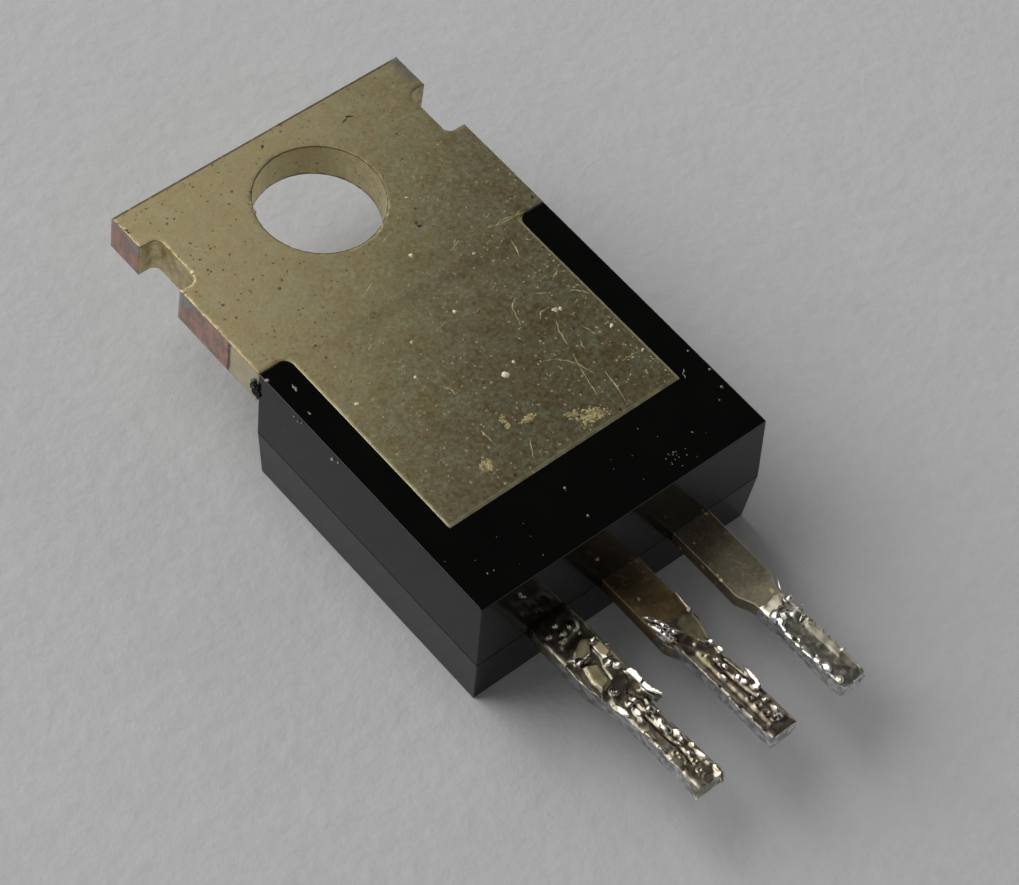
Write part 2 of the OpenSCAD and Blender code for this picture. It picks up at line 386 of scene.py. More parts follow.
def plating_tone(p, wear_and_shade):
    """Gold-grey plating with blotches, mottling, brown stains and painted shade towards the right-hand lead,
    before any marks.
    """
    blotches = p.noise(0.9, 4, 0.6, warp=0.6)
    middle = p.noise(0.20, 3, 0.65, warp=0.3)
    fine = p.noise(0.11, 3, 0.7)
    gold = p.step(blotches * 0.5 + middle * 0.5, 0.44, 0.56)
    colour = p.mix(p.between(wear_and_shade, 0.45, 0.9) * gold, PLATING, PLATING_GREY)
    stains = p.step(p.noise(0.6, 3, 0.65, warp=0.8), 0.56, 0.72) * p.between(wear_and_shade, 0.15, 0.40)
    colour = p.mix(stains, colour, PLATING_STAIN)
    # Painted shade, partly tarnish: darker towards the right-hand lead, standing in for the reflection that
    # falls off there.
    light = p.between(wear_and_shade, TAB_NEW, TAB_TARNISHED_AND_SHADED)
    for pattern, new, old in ((middle, 0.25, 1.9), (blotches, 0.3, 1.2), (fine, 0.45, 1.5)):
        light = light * (1.0 + (pattern - 0.5) * p.between(wear_and_shade, new, old))
    band = p.oval(-0.5, -4.05, 0.20, 3.2, -3, 0.6)
    return p.shade(colour, light * p.between(band, 1.0, 0.88))


def pad_border_highlight(p, size, reach):
    """1 in the narrow plain border of the pad, where it meets the plastic; a highlight is painted there."""
    border = p.step(reach, size.pad_edge - 0.09, size.pad_edge - 0.06)
    border = p.either(border, p.step(p.y, size.pad_end + 0.15, size.pad_end + 0.10) * 0.5)
    border = p.either(border, p.step(p.y, size.pad_end + 0.05, size.pad_end + 0.03))
    border = border * p.step(p.y, size.shoulder, size.shoulder - 0.1)
    return border * (p.step(p.z, -0.2, -0.1) * p.between(p.noise(0.3), 0.2, 1.1))


def tab_edge_shade(p, size):
    """1 along the tab's rounded edges, where dark shade is painted: round the hole, at its end and along its
    sides.
    """
    edges = p.step(p.from_axis(), size.hole + 0.05, size.hole + 0.02)
    edges = p.either(edges, p.step(p.y, size.end - 0.10, size.end - 0.05))
    edges = edges * p.leaning("Z", 0.3, 0.6)
    edges = p.either(edges, p.leaning("Z", 0.98, 0.90) * p.leaning("Z", 0.2, 0.5))
    return edges * p.step(p.y, size.shoulder - 0.1, size.shoulder)


def worn_plating(size):
    """The tab: worn plating with pits and crumbs, tarnish and painted shade towards the right-hand lead, a
    painted highlight along the pad's border, painted shade along its edges, and sheared copper at its sides.
    """
    p = Paint("worn_plating", 1.0)
    wear_and_shade = wear_and_shade_of_tab(p)
    colour = plating_tone(p, wear_and_shade)
    pits = p.either(p.dots(0.15, 0.032, 0.50) * (1.0 - wear_and_shade), p.dots(0.40, 0.045, 0.35))
    colour = p.vary(colour, pits, 1.0, 0.40)
    streaks = p.either(p.scratches(1.1, 0.030, 52, 0.3), p.scratches(0.8, 0.025, -24, 0.2))
    streaks = streaks * p.between(wear_and_shade, 0.1, 0.9)
    colour = p.vary(colour, streaks, 1.0, 1.4)
    side = p.step(p.y, size.shoulder, size.shoulder + 0.3) * p.step(p.y, -1.2, -1.8)
    brushed = p.scratches(2.4, 0.035, 75, 0.7) * p.step(p.x, 3.9, 4.5) * side
    colour = p.vary(colour, brushed, 1.0, 0.55)
    reach = p.maths("ABSOLUTE", p.x)
    # Painted highlight: the pad's border is lighter, standing in for the light that its raised lip catches.
    border = pad_border_highlight(p, size, reach)
    colour = p.mix(border, colour, p.shade(PLATING_GREY, 0.85))

    colour, sheared = tab_walls(p, size, reach, colour)
    # Painted shade: broken dark lines along the tab's rounded edges, which dim the highlight that they catch.
    edges = tab_edge_shade(p, size)
    uneven = p.noise(0.35)
    colour = p.vary(colour, edges * p.step(uneven, 0.22, 0.42), 1.0, 0.22)

    on_lead, tone, gloss = lead_tone(p, size, CENTRE_TONES, OTHER_GLOSS)
    colour = p.mix(on_lead, colour, tone)
    crumbs = p.dots(0.14, 0.032, 0.34) * p.between(wear_and_shade, 0.05, 0.75) * (1.0 - on_lead)
    across, along = CORNER
    corner = p.step(p.x + p.between(uneven, -0.2, 0.2), across, across + 0.4)
    colour = p.mix(corner * p.step(p.y, along, along + 0.4) * 0.8, colour, WORN_CORNER)
    colour = p.mix(crumbs, colour, TAB_CRUMB)
    p.feed(p.shader["Metallic"], p.between(crumbs, 1.0, 0.0))

    rough = p.between(p.noise(0.45), 0.36, 0.44) + p.either(edges, border) * 0.12
    rough = rough * (1.0 - on_lead) + gloss * on_lead + sheared * 0.16
    relief = p.bump(p.noise(0.12), 0.003)
    relief = p.bump(p.drawn_noise((9.0, 9.0, 1.3)), 0.012, sheared * 0.4, relief)
    relief = p.bump(p.either(pits, streaks), -0.004, 1.0, relief)
    return p.finish(colour, rough, relief)


def tab_walls(p, size, reach, colour):
    """Adds dirt in the notches, lightens the hole's wall and darkens it towards its lower rim, and colours
    the sides; also gives where the sides are sheared.
    """
    upright = p.upright()
    lumps = p.step(p.noise(0.30, 4, 0.6), 0.36, 0.64)
    across, along = NOTCH
    dirt = upright * (p.step(reach, across, across + 0.2) * p.step(p.y, along, along + 0.3))
    colour = p.mix(dirt * 0.8, colour, p.mix(lumps, *NOTCH_DIRT))
    inner = upright * p.step(p.from_axis(), size.hole + 0.15, size.hole + 0.10)
    colour = p.vary(colour, inner, 1.0, HOLE_WALL)
    # The hole's wall darkens towards its lower rim.
    rim = p.step(p.z + p.between(lumps, -0.02, 0.03), size.bottom + 0.09, size.bottom + 0.06)
    colour = p.vary(colour, inner * rim, 1.0, 0.4)

    outer = upright * (p.leaning("X", 0.5, 0.8) * p.step(reach, size.edge - 0.12, size.edge - 0.07))
    ragged = p.between(p.noise(0.4), -0.12, 0.12)
    place = p.y + ragged
    bare = p.step(place, SHEAR_START, SHEAR_START + 0.07)
    plated = p.vary(PLATED_WALL, lumps, 0.85, 1.0)
    colour = p.mix(outer * (1.0 - bare) * 0.6, colour, plated)
    sheared = outer * bare
    lines = p.drawn_noise((7.0, 7.0, 1.3))
    colour = p.mix(sheared, colour, p.vary(SILVER, lines, 0.55, 1.05))

    beyond = p.step(p.y, SHEAR_MIDDLE, 0.0)
    top_strip = p.between(p.step(p.y, 1.3, 2.2), -0.40, -0.10)
    pink_part = p.either(p.step(p.z + ragged * 1.5 - top_strip, 0.06, -0.06), beyond)
    smear = p.step(p.y + p.z * 0.8 + ragged, SMEAR_START, SMEAR_START + 0.15) * beyond
    pink = p.mix(p.step(p.noise(0.45), 0.40, 0.62), *COPPER)
    pink = p.vary(pink, lines, 0.62, 1.20)
    colour = p.mix(sheared * (pink_part * (1.0 - smear)), colour, pink)
    seam = p.step(place, SHEAR_START - 0.07, SHEAR_START + 0.01) * p.step(place, -2.30, -2.40)
    return p.mix(outer * seam * 0.7, colour, SHEAR_SEAM), sheared


def epoxy_paint():
    """Glossy black moulding compound: faint mottling, a little dust and fine rubbed marks."""
    p = Paint("black_epoxy", 0.0, 0.34)
    broad = p.noise(1.3)
    grain = p.noise(0.06, 2, 0.6)
    rubbed = p.either(p.scratches(1.5, 0.05, 40, 0.25), p.scratches(1.1, 0.04, -35, 0.15))
    colour = p.mix(broad, EPOXY, EPOXY_PALE)
    colour = p.mix(p.step(grain, 0.66, 0.76) * 0.5, colour, EPOXY_GRAIN)
    colour = p.mix(p.dots(0.5, 0.02, 0.10) * 0.8, colour, EPOXY_DUST)
    rough = p.between(broad, 0.09, 0.17) + rubbed * 0.05
    relief = p.bump(p.noise(0.35, 3, 0.55), 0.0018)
    return p.finish(colour, rough, p.bump(grain, 0.0006, 1.0, relief))


def lead_tone(p, size, tones, gloss):
    """A bare lead, from the body to its shoulder: where it is, its colours and its roughness."""
    along = size.exit - p.y
    patches = p.noise(0.5, warp=0.5)
    place = along + p.between(patches, -0.8, 0.8)
    near, middle, far = tones
    colour = p.mix(p.step(place, 0.3, 1.5), near, middle)
    colour = p.mix(p.step(place, 2.1, 2.8), colour, far)
    colour = p.vary(colour, patches, 0.70, 1.30)
    colour = p.vary(colour, p.noise(0.09, 3, 0.65), 0.55, 1.45)
    colour = p.mix(p.step(p.noise(0.22, 3, 0.65), 0.54, 0.66) * 0.6, colour, p.shade(far, 0.9))
    colour = p.mix(p.dots(0.22, 0.05, 0.22), colour, LEAD_SPECK)
    return p.step(along, -0.1, 0.0), colour, p.between(patches, gloss - 0.06, gloss + 0.08)


def lead_paint(name, size, tones, gloss):
    p = Paint(name, 1.0)
    _, colour, rough = lead_tone(p, size, tones, gloss)
    marks = p.scratches(0.9, 0.03, 60, 0.3)
    colour = p.vary(colour, marks, 1.0, 1.4)
    relief = p.bump(p.noise(0.20), 0.010)
    return p.finish(colour, rough, p.bump(marks, 0.003, 1.0, relief))


def solder_wall(p, size, along, spots, drawn, light):
    """The colour of the solder's upright walls, which darkens towards their lower rim."""
    lift = p.step(along, SHOULDER, TIP, "LINEAR") * size.lead_rise
    height = p.z - size.lead_low - lift + p.between(spots, -0.02, 0.02)
    colour = p.vary(SOLDER_WALL, drawn, 0.0, 1.5)
    colour = p.vary(colour, p.step(along, 2.5, 3.3), 0.55, light)
    colour = p.vary(colour, p.step(spots, 0.38, 0.62), 0.65, 1.25)
    return p.vary(colour, p.step(height, 0.07, 0.01), 1.0, 0.5)


def solder_paint(name, lead_x, size, look):
    """Old solder: bright lumps and walls, duller where it lies low, dark in its hollows with flux residue and
    painted shade, and in burnt places.
    """
    p = Paint(name, 1.0)
    bright, low, dull = look.tones
    patches = p.noise(0.50, 3, 0.55, warp=0.8)
    spots = p.noise(0.20, warp=0.5)
    fine = p.noise(0.08, 3, 0.65)
    drawn = p.drawn_noise((9.0, 1.2, 9.0))
    hollow = p.outputs("Attribute", attribute_name="hollow")["Fac"]
    raised = p.outputs("Attribute", attribute_name="raised")["Fac"]
    along = size.exit - p.y
    walls = p.upright()

    clean = p.step(raised + p.between(spots, -0.2, 0.2), 0.15, 0.60)
    mottled = p.between(fine, 0.5, 1.5) * p.between(p.step(patches, 0.38, 0.62), 0.60, 1.35)
    colour = p.mix(clean, p.shade(low, mottled), bright)
    stale = 0.0
    for d, across, long, wide, turn in look.dull:
        stale = p.either(stale, p.oval(lead_x + across, size.exit - d, long, wide, turn))
    colour = p.mix(stale, colour, p.vary(dull, patches, 0.5, 1.2))
    tin = solder_wall(p, size, along, spots, drawn, look.walls)
    colour = p.mix(walls * p.between(patches, 0.75, 1.0), colour, tin)
    # Painted shade, partly flux residue: dark in the solder's hollows, standing in for the dark that deep
    # grooves show.
    residue_and_shade = p.step(hollow + p.between(spots, -0.12, 0.12), 0.68, 0.95)
    colour = p.mix(residue_and_shade * 0.9, colour, SOLDER_RESIDUE_AND_SHADE)
    near = p.step(along + p.between(spots, -0.5, 0.5), look.sooty + 0.15, look.sooty - 0.25)
    far = p.step(along + p.between(spots, -0.3, 0.3), look.charred - 0.1, look.charred + 0.1)
    soot = p.either(near, far) * p.step(spots, 0.66, 0.50)
    colour = p.mix(soot * 0.9, colour, p.vary(SOLDER_SOOT, fine, 0.4, 1.6))

    rough = p.between(clean, 0.33, 0.26) + p.between(p.step(spots, 0.40, 0.60), -0.04, 0.04)
    rough = p.either(rough, stale * 0.42)
    relief = p.bump(fine, 0.0006, 1.0, p.bump(spots, 0.002))
    return p.finish(colour, rough, p.bump(drawn, 0.006, walls, relief))


def crumb_paint(name, colour, dark):
    """Dull crumbs and burrs, uneven in tone."""
    p = Paint(name, 0.0, 0.3)
    tone = p.step(p.noise(0.12), 0.35, 0.65)
    return p.finish(p.mix(tone, dark, colour), 0.6, p.bump(p.noise(0.03, 2, 0.5), 0.004))


def paper_paint():
    p = Paint("paper", 0.0, 0.0)
    fibres = p.noise(0.35, 4, 0.65)
    clouds = p.noise(2.2, 3, 0.55)
    light = p.between(fibres, 0.94, 1.06) * p.between(clouds, 0.95, 1.05)
    colour = p.shade((FLOOR_GREY, FLOOR_GREY, FLOOR_GREY * 1.005, 1), light)
    return p.finish(colour, 1.0, p.bump(p.noise(0.6, 4, 0.6), 0.034))


def silicon_paint():
    """A grid of fine lines, four to the millimetre."""
    p = Paint("silicon_die", 0.6)
    lattice = p.either(*(p.step(p.maths("FRACT", way * 4.0), 0.90, 0.94) for way in (p.x, p.y)))
    colour = p.mix(lattice, srgb(92, 98, 112), srgb(150, 148, 140))
    colour = p.vary(colour, p.noise(0.4, 2, 0.5), 0.85, 1.15)
    return p.finish(colour, p.between(lattice, 0.18, 0.35), p.bump(lattice, 0.004))


def dull_solder_paint():
    p = Paint("inner_solder", 1.0)
    patches = p.noise(0.3)
    colour = p.mix(patches, srgb(150, 148, 142), srgb(112, 110, 104))
    return p.finish(colour, p.between(patches, 0.35, 0.55), p.bump(p.noise(0.08, 3, 0.5), 0.01))


def wire_paint():
    p = Paint("drawn_wire", 1.0)
    drawn = p.drawn_noise((24.0, 2.5, 24.0), 2, 0.5)
    colour = p.mix(drawn, srgb(208, 208, 206), srgb(168, 168, 166))
    return p.finish(colour, p.between(drawn, 0.22, 0.40), p.bump(drawn, 0.003))


# ---------------------------------------------------------------- mesh helpers, in millimetres

SAME_PLACE = 0.0001
FLAT_TURN = math.radians(1)
BEVELLED_TURN = math.radians(30)
SHARP_TURN = math.radians(35)
EDGE_SEGMENTS = 2
WAVE_SHIFT = (7.1, 3.7, 5.3)


def piece_from(name, verts, faces):
    mesh = bpy.data.meshes.new(name)
    mesh.from_pydata([tuple(v) for v in np.asarray(verts, float) * MM], [], faces)
    mesh.update()
    return add_to_scene(name, mesh)


def at_vertices(piece, what):
    found = np.empty(len(piece.data.vertices) * 3)
    piece.data.vertices.foreach_get(what, found)
    return found.reshape(-1, 3)


def coordinates(piece):
    return at_vertices(piece, "co") / MM


def normals(piece):
    return at_vertices(piece, "normal")


def move_to(piece, places):
    piece.data.vertices.foreach_set("co", (np.asarray(places) * MM).ravel())
    piece.data.update()


def bake(piece):
    """Applies the piece's modifiers to its mesh."""
    graph = bpy.context.evaluated_depsgraph_get()
    mesh = bpy.data.meshes.new_from_object(piece.evaluated_get(graph))
    piece.modifiers.clear()
    piece.data = mesh


def combine(piece, other, operation):
    """Joins the other closed mesh to the piece, or cuts it out, and removes the other."""
    modifier = piece.modifiers.new("combine", "BOOLEAN")
    modifier.operation = operation
    modifier.object = other
    modifier.solver = "MANIFOLD"
    bake(piece)
    bpy.data.objects.remove(other)


def cad_mesh(node):
    """A CAD node's mesh as bmesh, with its split corners joined and its flat faces whole."""
    bm = bmesh.new()
    bm.from_mesh(NODES[node].data)
    bmesh.ops.remove_doubles(bm, verts=bm.verts, dist=SAME_PLACE * MM)
    everything = {"verts": bm.verts, "edges": bm.edges}
    bmesh.ops.dissolve_limit(bm, angle_limit=FLAT_TURN, use_dissolve_boundaries=False, **everything)
    bm.normal_update()
    return bm


def piece_from_bmesh(name, bm):
    mesh = bpy.data.meshes.new(name)
    bm.to_mesh(mesh)
    bm.free()
    return add_to_scene(name, mesh)


def soften(piece, width):
    """Rounds the piece's sharp edges."""
    modifier = piece.modifiers.new("soften", "BEVEL")
    modifier.width = width * MM
    modifier.segments = EDGE_SEGMENTS
    modifier.limit_method = "ANGLE"
    modifier.angle_limit = BEVELLED_TURN
    bake(piece)


def shade_smoothly(piece, sharp_from):
    piece.data.shade_smooth()
    piece.data.set_sharp_from_angle(angle=sharp_from)


def shade_moulded(piece):
    """Smooth shading that leaves the flat faces flat beside their rounded edges."""
    shade_smoothly(piece, SHARP_TURN)
    modifier = piece.modifiers.new("even_shading", "WEIGHTED_NORMAL")
    modifier.keep_sharp = True


def wavy(places, size, height, seed):
    """A smooth random number at each place, about height at most, in waves of that size."""
    shift = Vector([seed * way for way in WAVE_SHIFT])
    return np.array([noise.noise(Vector(p) / size + shift) for p in places]) * height


def ball(detail=3):
    """The corners and faces of a unit sphere."""
    bm = bmesh.new()
    bmesh.ops.create_icosphere(bm, subdivisions=detail, radius=1.0)
    verts = np.array([v.co for v in bm.verts])
    faces = [[v.index for v in f.verts] for f in bm.faces]
    bm.free()
    return verts, faces


class Shells:
    """Separate closed shells, gathered for one mesh."""

    def __init__(self):
        self.verts = []
        self.faces = []

    def add(self, verts, faces):
        first = len(self.verts)
        self.verts.extend(map(tuple, verts))
        self.faces.extend([first + i for i in face] for face in faces)


def finish_piece(piece, material, slot, *replaced):
    piece.data.materials.clear()
    piece.data.materials.append(material)
    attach(piece, "root")
    if replaced:
        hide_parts(*replaced)


# ---------------------------------------------------------------- the tab and the centre lead

EDGE_ROLL = 0.022
PLATE_STEP = 0.09
UNDERSIDE_STEP = 0.3
NECK_LAP = 0.25
NECK_DROP = 0.1
CUT_REACH = 0.0005
FLAT = 0.001
LEVEL = 0.9
LEAD_EDGE = 0.035
ROW_SHARE = 0.87
CLEAR_SHARE = 0.6
ROLL_ANGLES = (0, 30, 60, 90)
EDGE_WEAR = 0.005
EDGE_WEAR_SIZE = 0.15
TAB_SHARP_TURN = math.radians(50)


def flat_rims(bm, height):
    """The outlines of the mesh's upward faces at a height, each with the material on its left."""
    flat = [f for f in bm.faces if f.normal.z > LEVEL and abs(f.calc_center_median().z / MM - height) < FLAT]
    following = {}
    for face in flat:
        for corner in face.loops:
            if sum(beside in flat for beside in corner.edge.link_faces) == 1:
                following[corner.vert] = corner.link_loop_next.vert
    rims = []
    while following:
        start = next(iter(following))
        rim = []
        vert = start
        while vert in following:
            rim.append((vert.co.x / MM, vert.co.y / MM))
            vert = following.pop(vert)
        rims.append(np.array(rim))
    return sorted(rims, key=len)[::-1]


def split_long_sides(rim, step):
    points = []
    for a, b in zip(rim, np.roll(rim, -1, 0)):
        count = max(1, math.ceil(np.linalg.norm(b - a) / step))
        points += [a + (b - a) * i / count for i in range(count)]
    return np.array(points)


def inward(rim):
    """At each point, the way to move so that both sides of the rim move in by 1."""
    along = np.roll(rim, -1, 0) - rim
    along /= np.linalg.norm(along, axis=1)[:, None]
    left = np.c_[-along[:, 1], along[:, 0]]
    both = left + np.roll(left, 1, 0)
    return 2 * both / (both ** 2).sum(1)[:, None]


def inside(points, rims):
    """Which points lie on the material, by counting the rims' sides to the right of each."""
    hits = np.zeros(len(points), int)
    for rim in rims:
        for (ax, ay), (bx, by) in zip(rim, np.roll(rim, -1, 0)):
            spans = (ay > points[:, 1]) != (by > points[:, 1])
            if ay != by:
                crossing = ax + (points[:, 1] - ay) * (bx - ax) / (by - ay)
                hits += spans & (points[:, 0] < crossing)
    return hits % 2 == 1


def cap(verts, faces, rings, height, step, upward):
    """Fills the flat face inside the rings with small triangles."""
    rims = [np.array([verts[i][:2] for i in ring]) for ring in rings]
    ids = [i for ring in rings for i in ring]
    low = np.min([rim.min(0) for rim in rims], 0)
    high = np.max([rim.max(0) for rim in rims], 0)
    columns, rows = (np.ceil((high - low) / step)).astype(int)
    grid = np.array([(low[0] + (i + 0.5 * (j % 2)) * step, low[1] + j * step * ROW_SHARE)
                     for j in range(int(rows / ROW_SHARE) + 1) for i in range(columns + 1)])
    grid = grid[inside(grid, rims)]
    border = np.concatenate(rims)
    clearance = np.array([((border - point) ** 2).sum(1).min() for point in grid])
    grid = grid[clearance > (CLEAR_SHARE * step) ** 2]
    first = len(verts)
    verts.extend((x, y, height) for x, y in grid)
    ids += range(first, len(verts))
    sides = []
    count = 0
    for rim in rims:
        sides += [(count + i, count + (i + 1) % len(rim)) for i in range(len(rim))]
        count += len(rim)
    flat = [Vector(point) for point in np.concatenate([border, grid])]
    points, _, triangles, sources, _, _ = geometry.delaunay_2d_cdt(flat, sides, [], 1, 1e-6)
    centres = np.array([np.mean([points[i] for i in face], 0) for face in triangles])
    for face, keep in zip(triangles, inside(centres, rims)):
        if keep:
            a, b, c = (points[i] for i in face[:3])
            turns_left = (b - a).cross(c - a) > 0
            corners = [ids[sources[i][0]] for i in face]
            faces.append(corners if turns_left == upward else corners[::-1])


def edge_profile(top, bottom, roll, step):
    """(inset, height) down a wall whose two edges are rounded by roll."""
    turns = [math.radians(a) for a in ROLL_ANGLES]
    upper = [(roll * (1 - math.sin(t)), top - roll * (1 - math.cos(t))) for t in turns]
    lower = [(inset, bottom + top - z) for inset, z in reversed(upper)]
    straight = top - bottom - 2 * roll
    count = max(1, round(straight / step))
    wall = [(0.0, top - roll - straight * i / count) for i in range(1, count)]
    return upper + wall + lower


def plate(name, rims, top, bottom):
    """A closed plate between two heights, its flat faces made of small triangles."""
    verts = []
    faces = []
    upper_rings = []
    lower_rings = []
    for rim in rims:
        aim = inward(rim)
        rows = []
        for inset, z in edge_profile(top, bottom, EDGE_ROLL, PLATE_STEP):
            rows.append(list(range(len(verts), len(verts) + len(rim))))
            verts.extend((x, y, z) for x, y in rim + aim * inset)
        for upper, lower in zip(rows, rows[1:]):
            around = range(len(rim))
            faces += [(upper[i - 1], lower[i - 1], lower[i], upper[i]) for i in around]
        upper_rings.append(rows[0])
        lower_rings.append(rows[-1])
    cap(verts, faces, upper_rings, top, PLATE_STEP, True)
    cap(verts, faces, lower_rings, bottom, UNDERSIDE_STEP, False)
    return piece_from(name, verts, faces)


def neck_and_lead(pad_end):
    """The part of the tab's node beyond the pad, run on a little way into the pad."""
    bm = cad_mesh("tab_and_centre_lead")
    cut = {"plane_co": (0, pad_end * MM, 0), "plane_no": (0, 1, 0), "clear_outer": True}
    everything = bm.verts[:] + bm.edges[:] + bm.faces[:]
    bmesh.ops.bisect_plane(bm, geom=everything, dist=CUT_REACH * MM, **cut)
    bmesh.ops.contextual_create(bm, geom=[e for e in bm.edges if e.is_boundary])
    for vert in bm.verts:
        if vert.co.y / MM > pad_end - FLAT:
            vert.co.y += NECK_LAP * MM
            vert.co.z -= NECK_DROP * MM
    bmesh.ops.recalc_face_normals(bm, faces=bm.faces)
    lead = piece_from_bmesh("neck", bm)
    soften(lead, LEAD_EDGE)
    return lead


def make_tab():
    """The tab and centre lead, with the tab's outline, its hole's outline and its underside's height."""
    bm = cad_mesh("tab_and_centre_lead")
    rims = [split_long_sides(rim, PLATE_STEP) for rim in flat_rims(bm, 0.0)]
    bottom = min(v.co.z for v in bm.verts if v.co.y > 0) / MM
    bm.free()
    tab = plate("tab_with_centre_lead", rims, 0.0, bottom)
    combine(tab, neck_and_lead(rims[0][:, 1].min()), "UNION")
    places = coordinates(tab)
    near_edge = np.abs(places[:, 2]) < EDGE_ROLL * 1.5
    facing = normals(tab)
    side = near_edge & (facing[:, 2] < 0.95)
    places[side] += facing[side] * wavy(places[side], EDGE_WEAR_SIZE, EDGE_WEAR, 1)[:, None]
    move_to(tab, places)
    shade_smoothly(tab, TAB_SHARP_TURN)
    return tab, *rims, bottom


# ---------------------------------------------------------------- the moulded body

BODY_EDGE = 0.03
BODY_EDGE_STEP = 0.3
HULL_NEAR = 0.03
HULL_TURN = math.radians(20)
SEAM_DEPTH = 0.03
SEAM_HEIGHT = 0.035
SEAM_LEVEL = 0.02
NIB_LUMPS = (
    ((-0.02, 0.12, -0.45), (0.08, 0.10, 0.12)),
    ((-0.05, 0.05, -0.62), (0.09, 0.13, 0.16)),
    ((-0.03, -0.03, -0.80), (0.08, 0.12, 0.11)),
    ((-0.01, 0.20, -0.70), (0.06, 0.08, 0.10)),
)
NIB_WAVE = 0.5
NIB_UNEVEN = 0.7


def outer_edges(bm):
    """The sharp edges whose two faces both lie on the mesh's convex hull."""
    verts = np.array([v.co for v in bm.verts]) / MM
    faces = list(bm.faces)
    facing = np.array([f.normal for f in faces])
    reach = (verts @ facing.T).max(0)
    own = np.array([f.verts[0].co for f in faces]) / MM
    outer = reach - (own * facing).sum(1) < HULL_NEAR
    on_hull = {f for f, is_outer in zip(faces, outer) if is_outer}
    return [e for e in bm.edges
            if len(on_hull.intersection(e.link_faces)) == 2 and e.calc_face_angle(0) > HULL_TURN]


def split_edges(bm, edges, step):
    by_cuts = {}
    for edge in edges:
        cuts = int(edge.calc_length() / MM / step)
        by_cuts.setdefault(cuts, []).append(edge)
    for cuts, group in by_cuts.items():
        if cuts:
            bmesh.ops.bisect_edges(bm, edges=group, cuts=cuts)


def box_piece(name, low, high):
    corners = [(x, y, z) for x in (low[0], high[0]) for y in (low[1], high[1]) for z in (low[2], high[2])]
    sides = [(0, 1, 3, 2), (4, 6, 7, 5), (0, 4, 5, 1), (2, 3, 7, 6), (0, 2, 6, 4), (1, 5, 7, 3)]
    return piece_from(name, corners, sides)


def seam_ring(places, height):
    """A thin frame round the body where its two mould halves met."""
    level = places[np.abs(places[:, 2] - height) < SEAM_LEVEL]
    low = level[:, :2].min(0)
    high = level[:, :2].max(0)
    half = SEAM_HEIGHT / 2
    outside = box_piece("seam", (*(low - 1), height - half), (*(high + 1), height + half))
    inner = box_piece("seam_core", (*(low + SEAM_DEPTH), height - 1), (*(high - SEAM_DEPTH), height + 1))
    combine(outside, inner, "DIFFERENCE")
    return outside


def make_body(shoulder):
    """The plastic body, with rounded edges, a parting line, and a torn nib at its corner beside the tab."""
    bm = cad_mesh("moulded_body")
    split_edges(bm, outer_edges(bm), BODY_EDGE_STEP)
    rounding = {"segments": EDGE_SEGMENTS, "profile": 0.5, "affect": "EDGES"}
    bmesh.ops.bevel(bm, geom=outer_edges(bm), offset=BODY_EDGE * MM, **rounding)
    body = piece_from_bmesh("moulded_epoxy_body", bm)
    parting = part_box("right_lead")[0].z / MM + LEAD_THICKNESS
    combine(body, seam_ring(coordinates(body), parting), "DIFFERENCE")
    verts, faces = BALL
    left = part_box("tab_and_centre_lead")[0].x / MM
    for seed, (place, size) in enumerate(NIB_LUMPS):
        lump = verts * size * (1 + wavy(verts, NIB_WAVE, NIB_UNEVEN, seed))[:, None]
        combine(body, piece_from("nib", lump + place + (left, shoulder, 0), faces), "UNION")
    shade_moulded(body)
    return body


# ---------------------------------------------------------------- the leads and their old solder

SLIM = 0.92
SLIM_UNDER = 0.05
PAST_SHOULDER = 0.15
WIDE_RISE = 0.3
END_REACH = 0.1

BALL = ball()
BALL_WAVE = 1.3
BALL_UNEVEN = 0.25
BALL_SEEDS = 97
LEANING_FLATTER = 0.65
RING_POINTS = 32
SQUARENESS = 0.3
SKIN = 0.035
SLAB_DEPTH = 0.25
RIDGE_STEP = 0.35

VOXEL = 0.026
SMOOTHING = 0.5
SMOOTHINGS = 6
LIP = 0.6
LIP_WIDTH = 0.28
CRATER_WIDTH = 0.6
RIPPLES = ((0.7, 0.012, 1), (0.30, 0.008, 2))
LOW_RIPPLE = (0.22, 0.010, 5)
THINNEST = 0.012
SKIN_FROM = -0.2
FACING_UP = 0.4
HOLLOW_REACH = 6
HOLLOW_FULL = 0.012
COAT_TOP = 0.08
LUMP_HEIGHT = 0.05

SPIKES = 24
END_SPLINTERS = 26
SOLDER_SHARP_TURN = math.radians(60)


def slim_lead(lead, lead_x, exit_y, wide_low):
    """Draws a lead's narrow part in a little, so that the solder round it can be thin."""
    places = coordinates(lead)
    narrow = places[:, 1] < exit_y - SHOULDER - PAST_SHOULDER
    places[narrow, 0] = lead_x + (places[narrow, 0] - lead_x) * SLIM
    low = narrow & (places[:, 2] < wide_low)
    places[low, 2] += SLIM_UNDER
    places[narrow & (places[:, 1] < places[:, 1].min() + END_REACH), 1] += SLIM_UNDER
    move_to(lead, places)


def make_lead(node, lead_x, exit_y):
    lead = piece_from_bmesh(node + "_metal", cad_mesh(node))
    slim_lead(lead, lead_x, exit_y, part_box(node)[0].z / MM + WIDE_RISE)
    soften(lead, LEAD_EDGE)
    shade_moulded(lead)
    return lead


def turned(degrees, axis):
    return Matrix.Rotation(math.radians(degrees), 3, axis)


def tube_faces(rings, around):
    """The faces of a closed tube through rings of points: its sides, then its two ends."""
    faces = []
    for first in range(0, (rings - 1) * around, around):
        for i in range(around):
            after = (i + 1) % around
            faces.append((first + i, first + after, first + around + after, first + around + i))
    last = (rings - 1) * around
    return faces + [list(range(around))[::-1], list(range(last, last + around))]


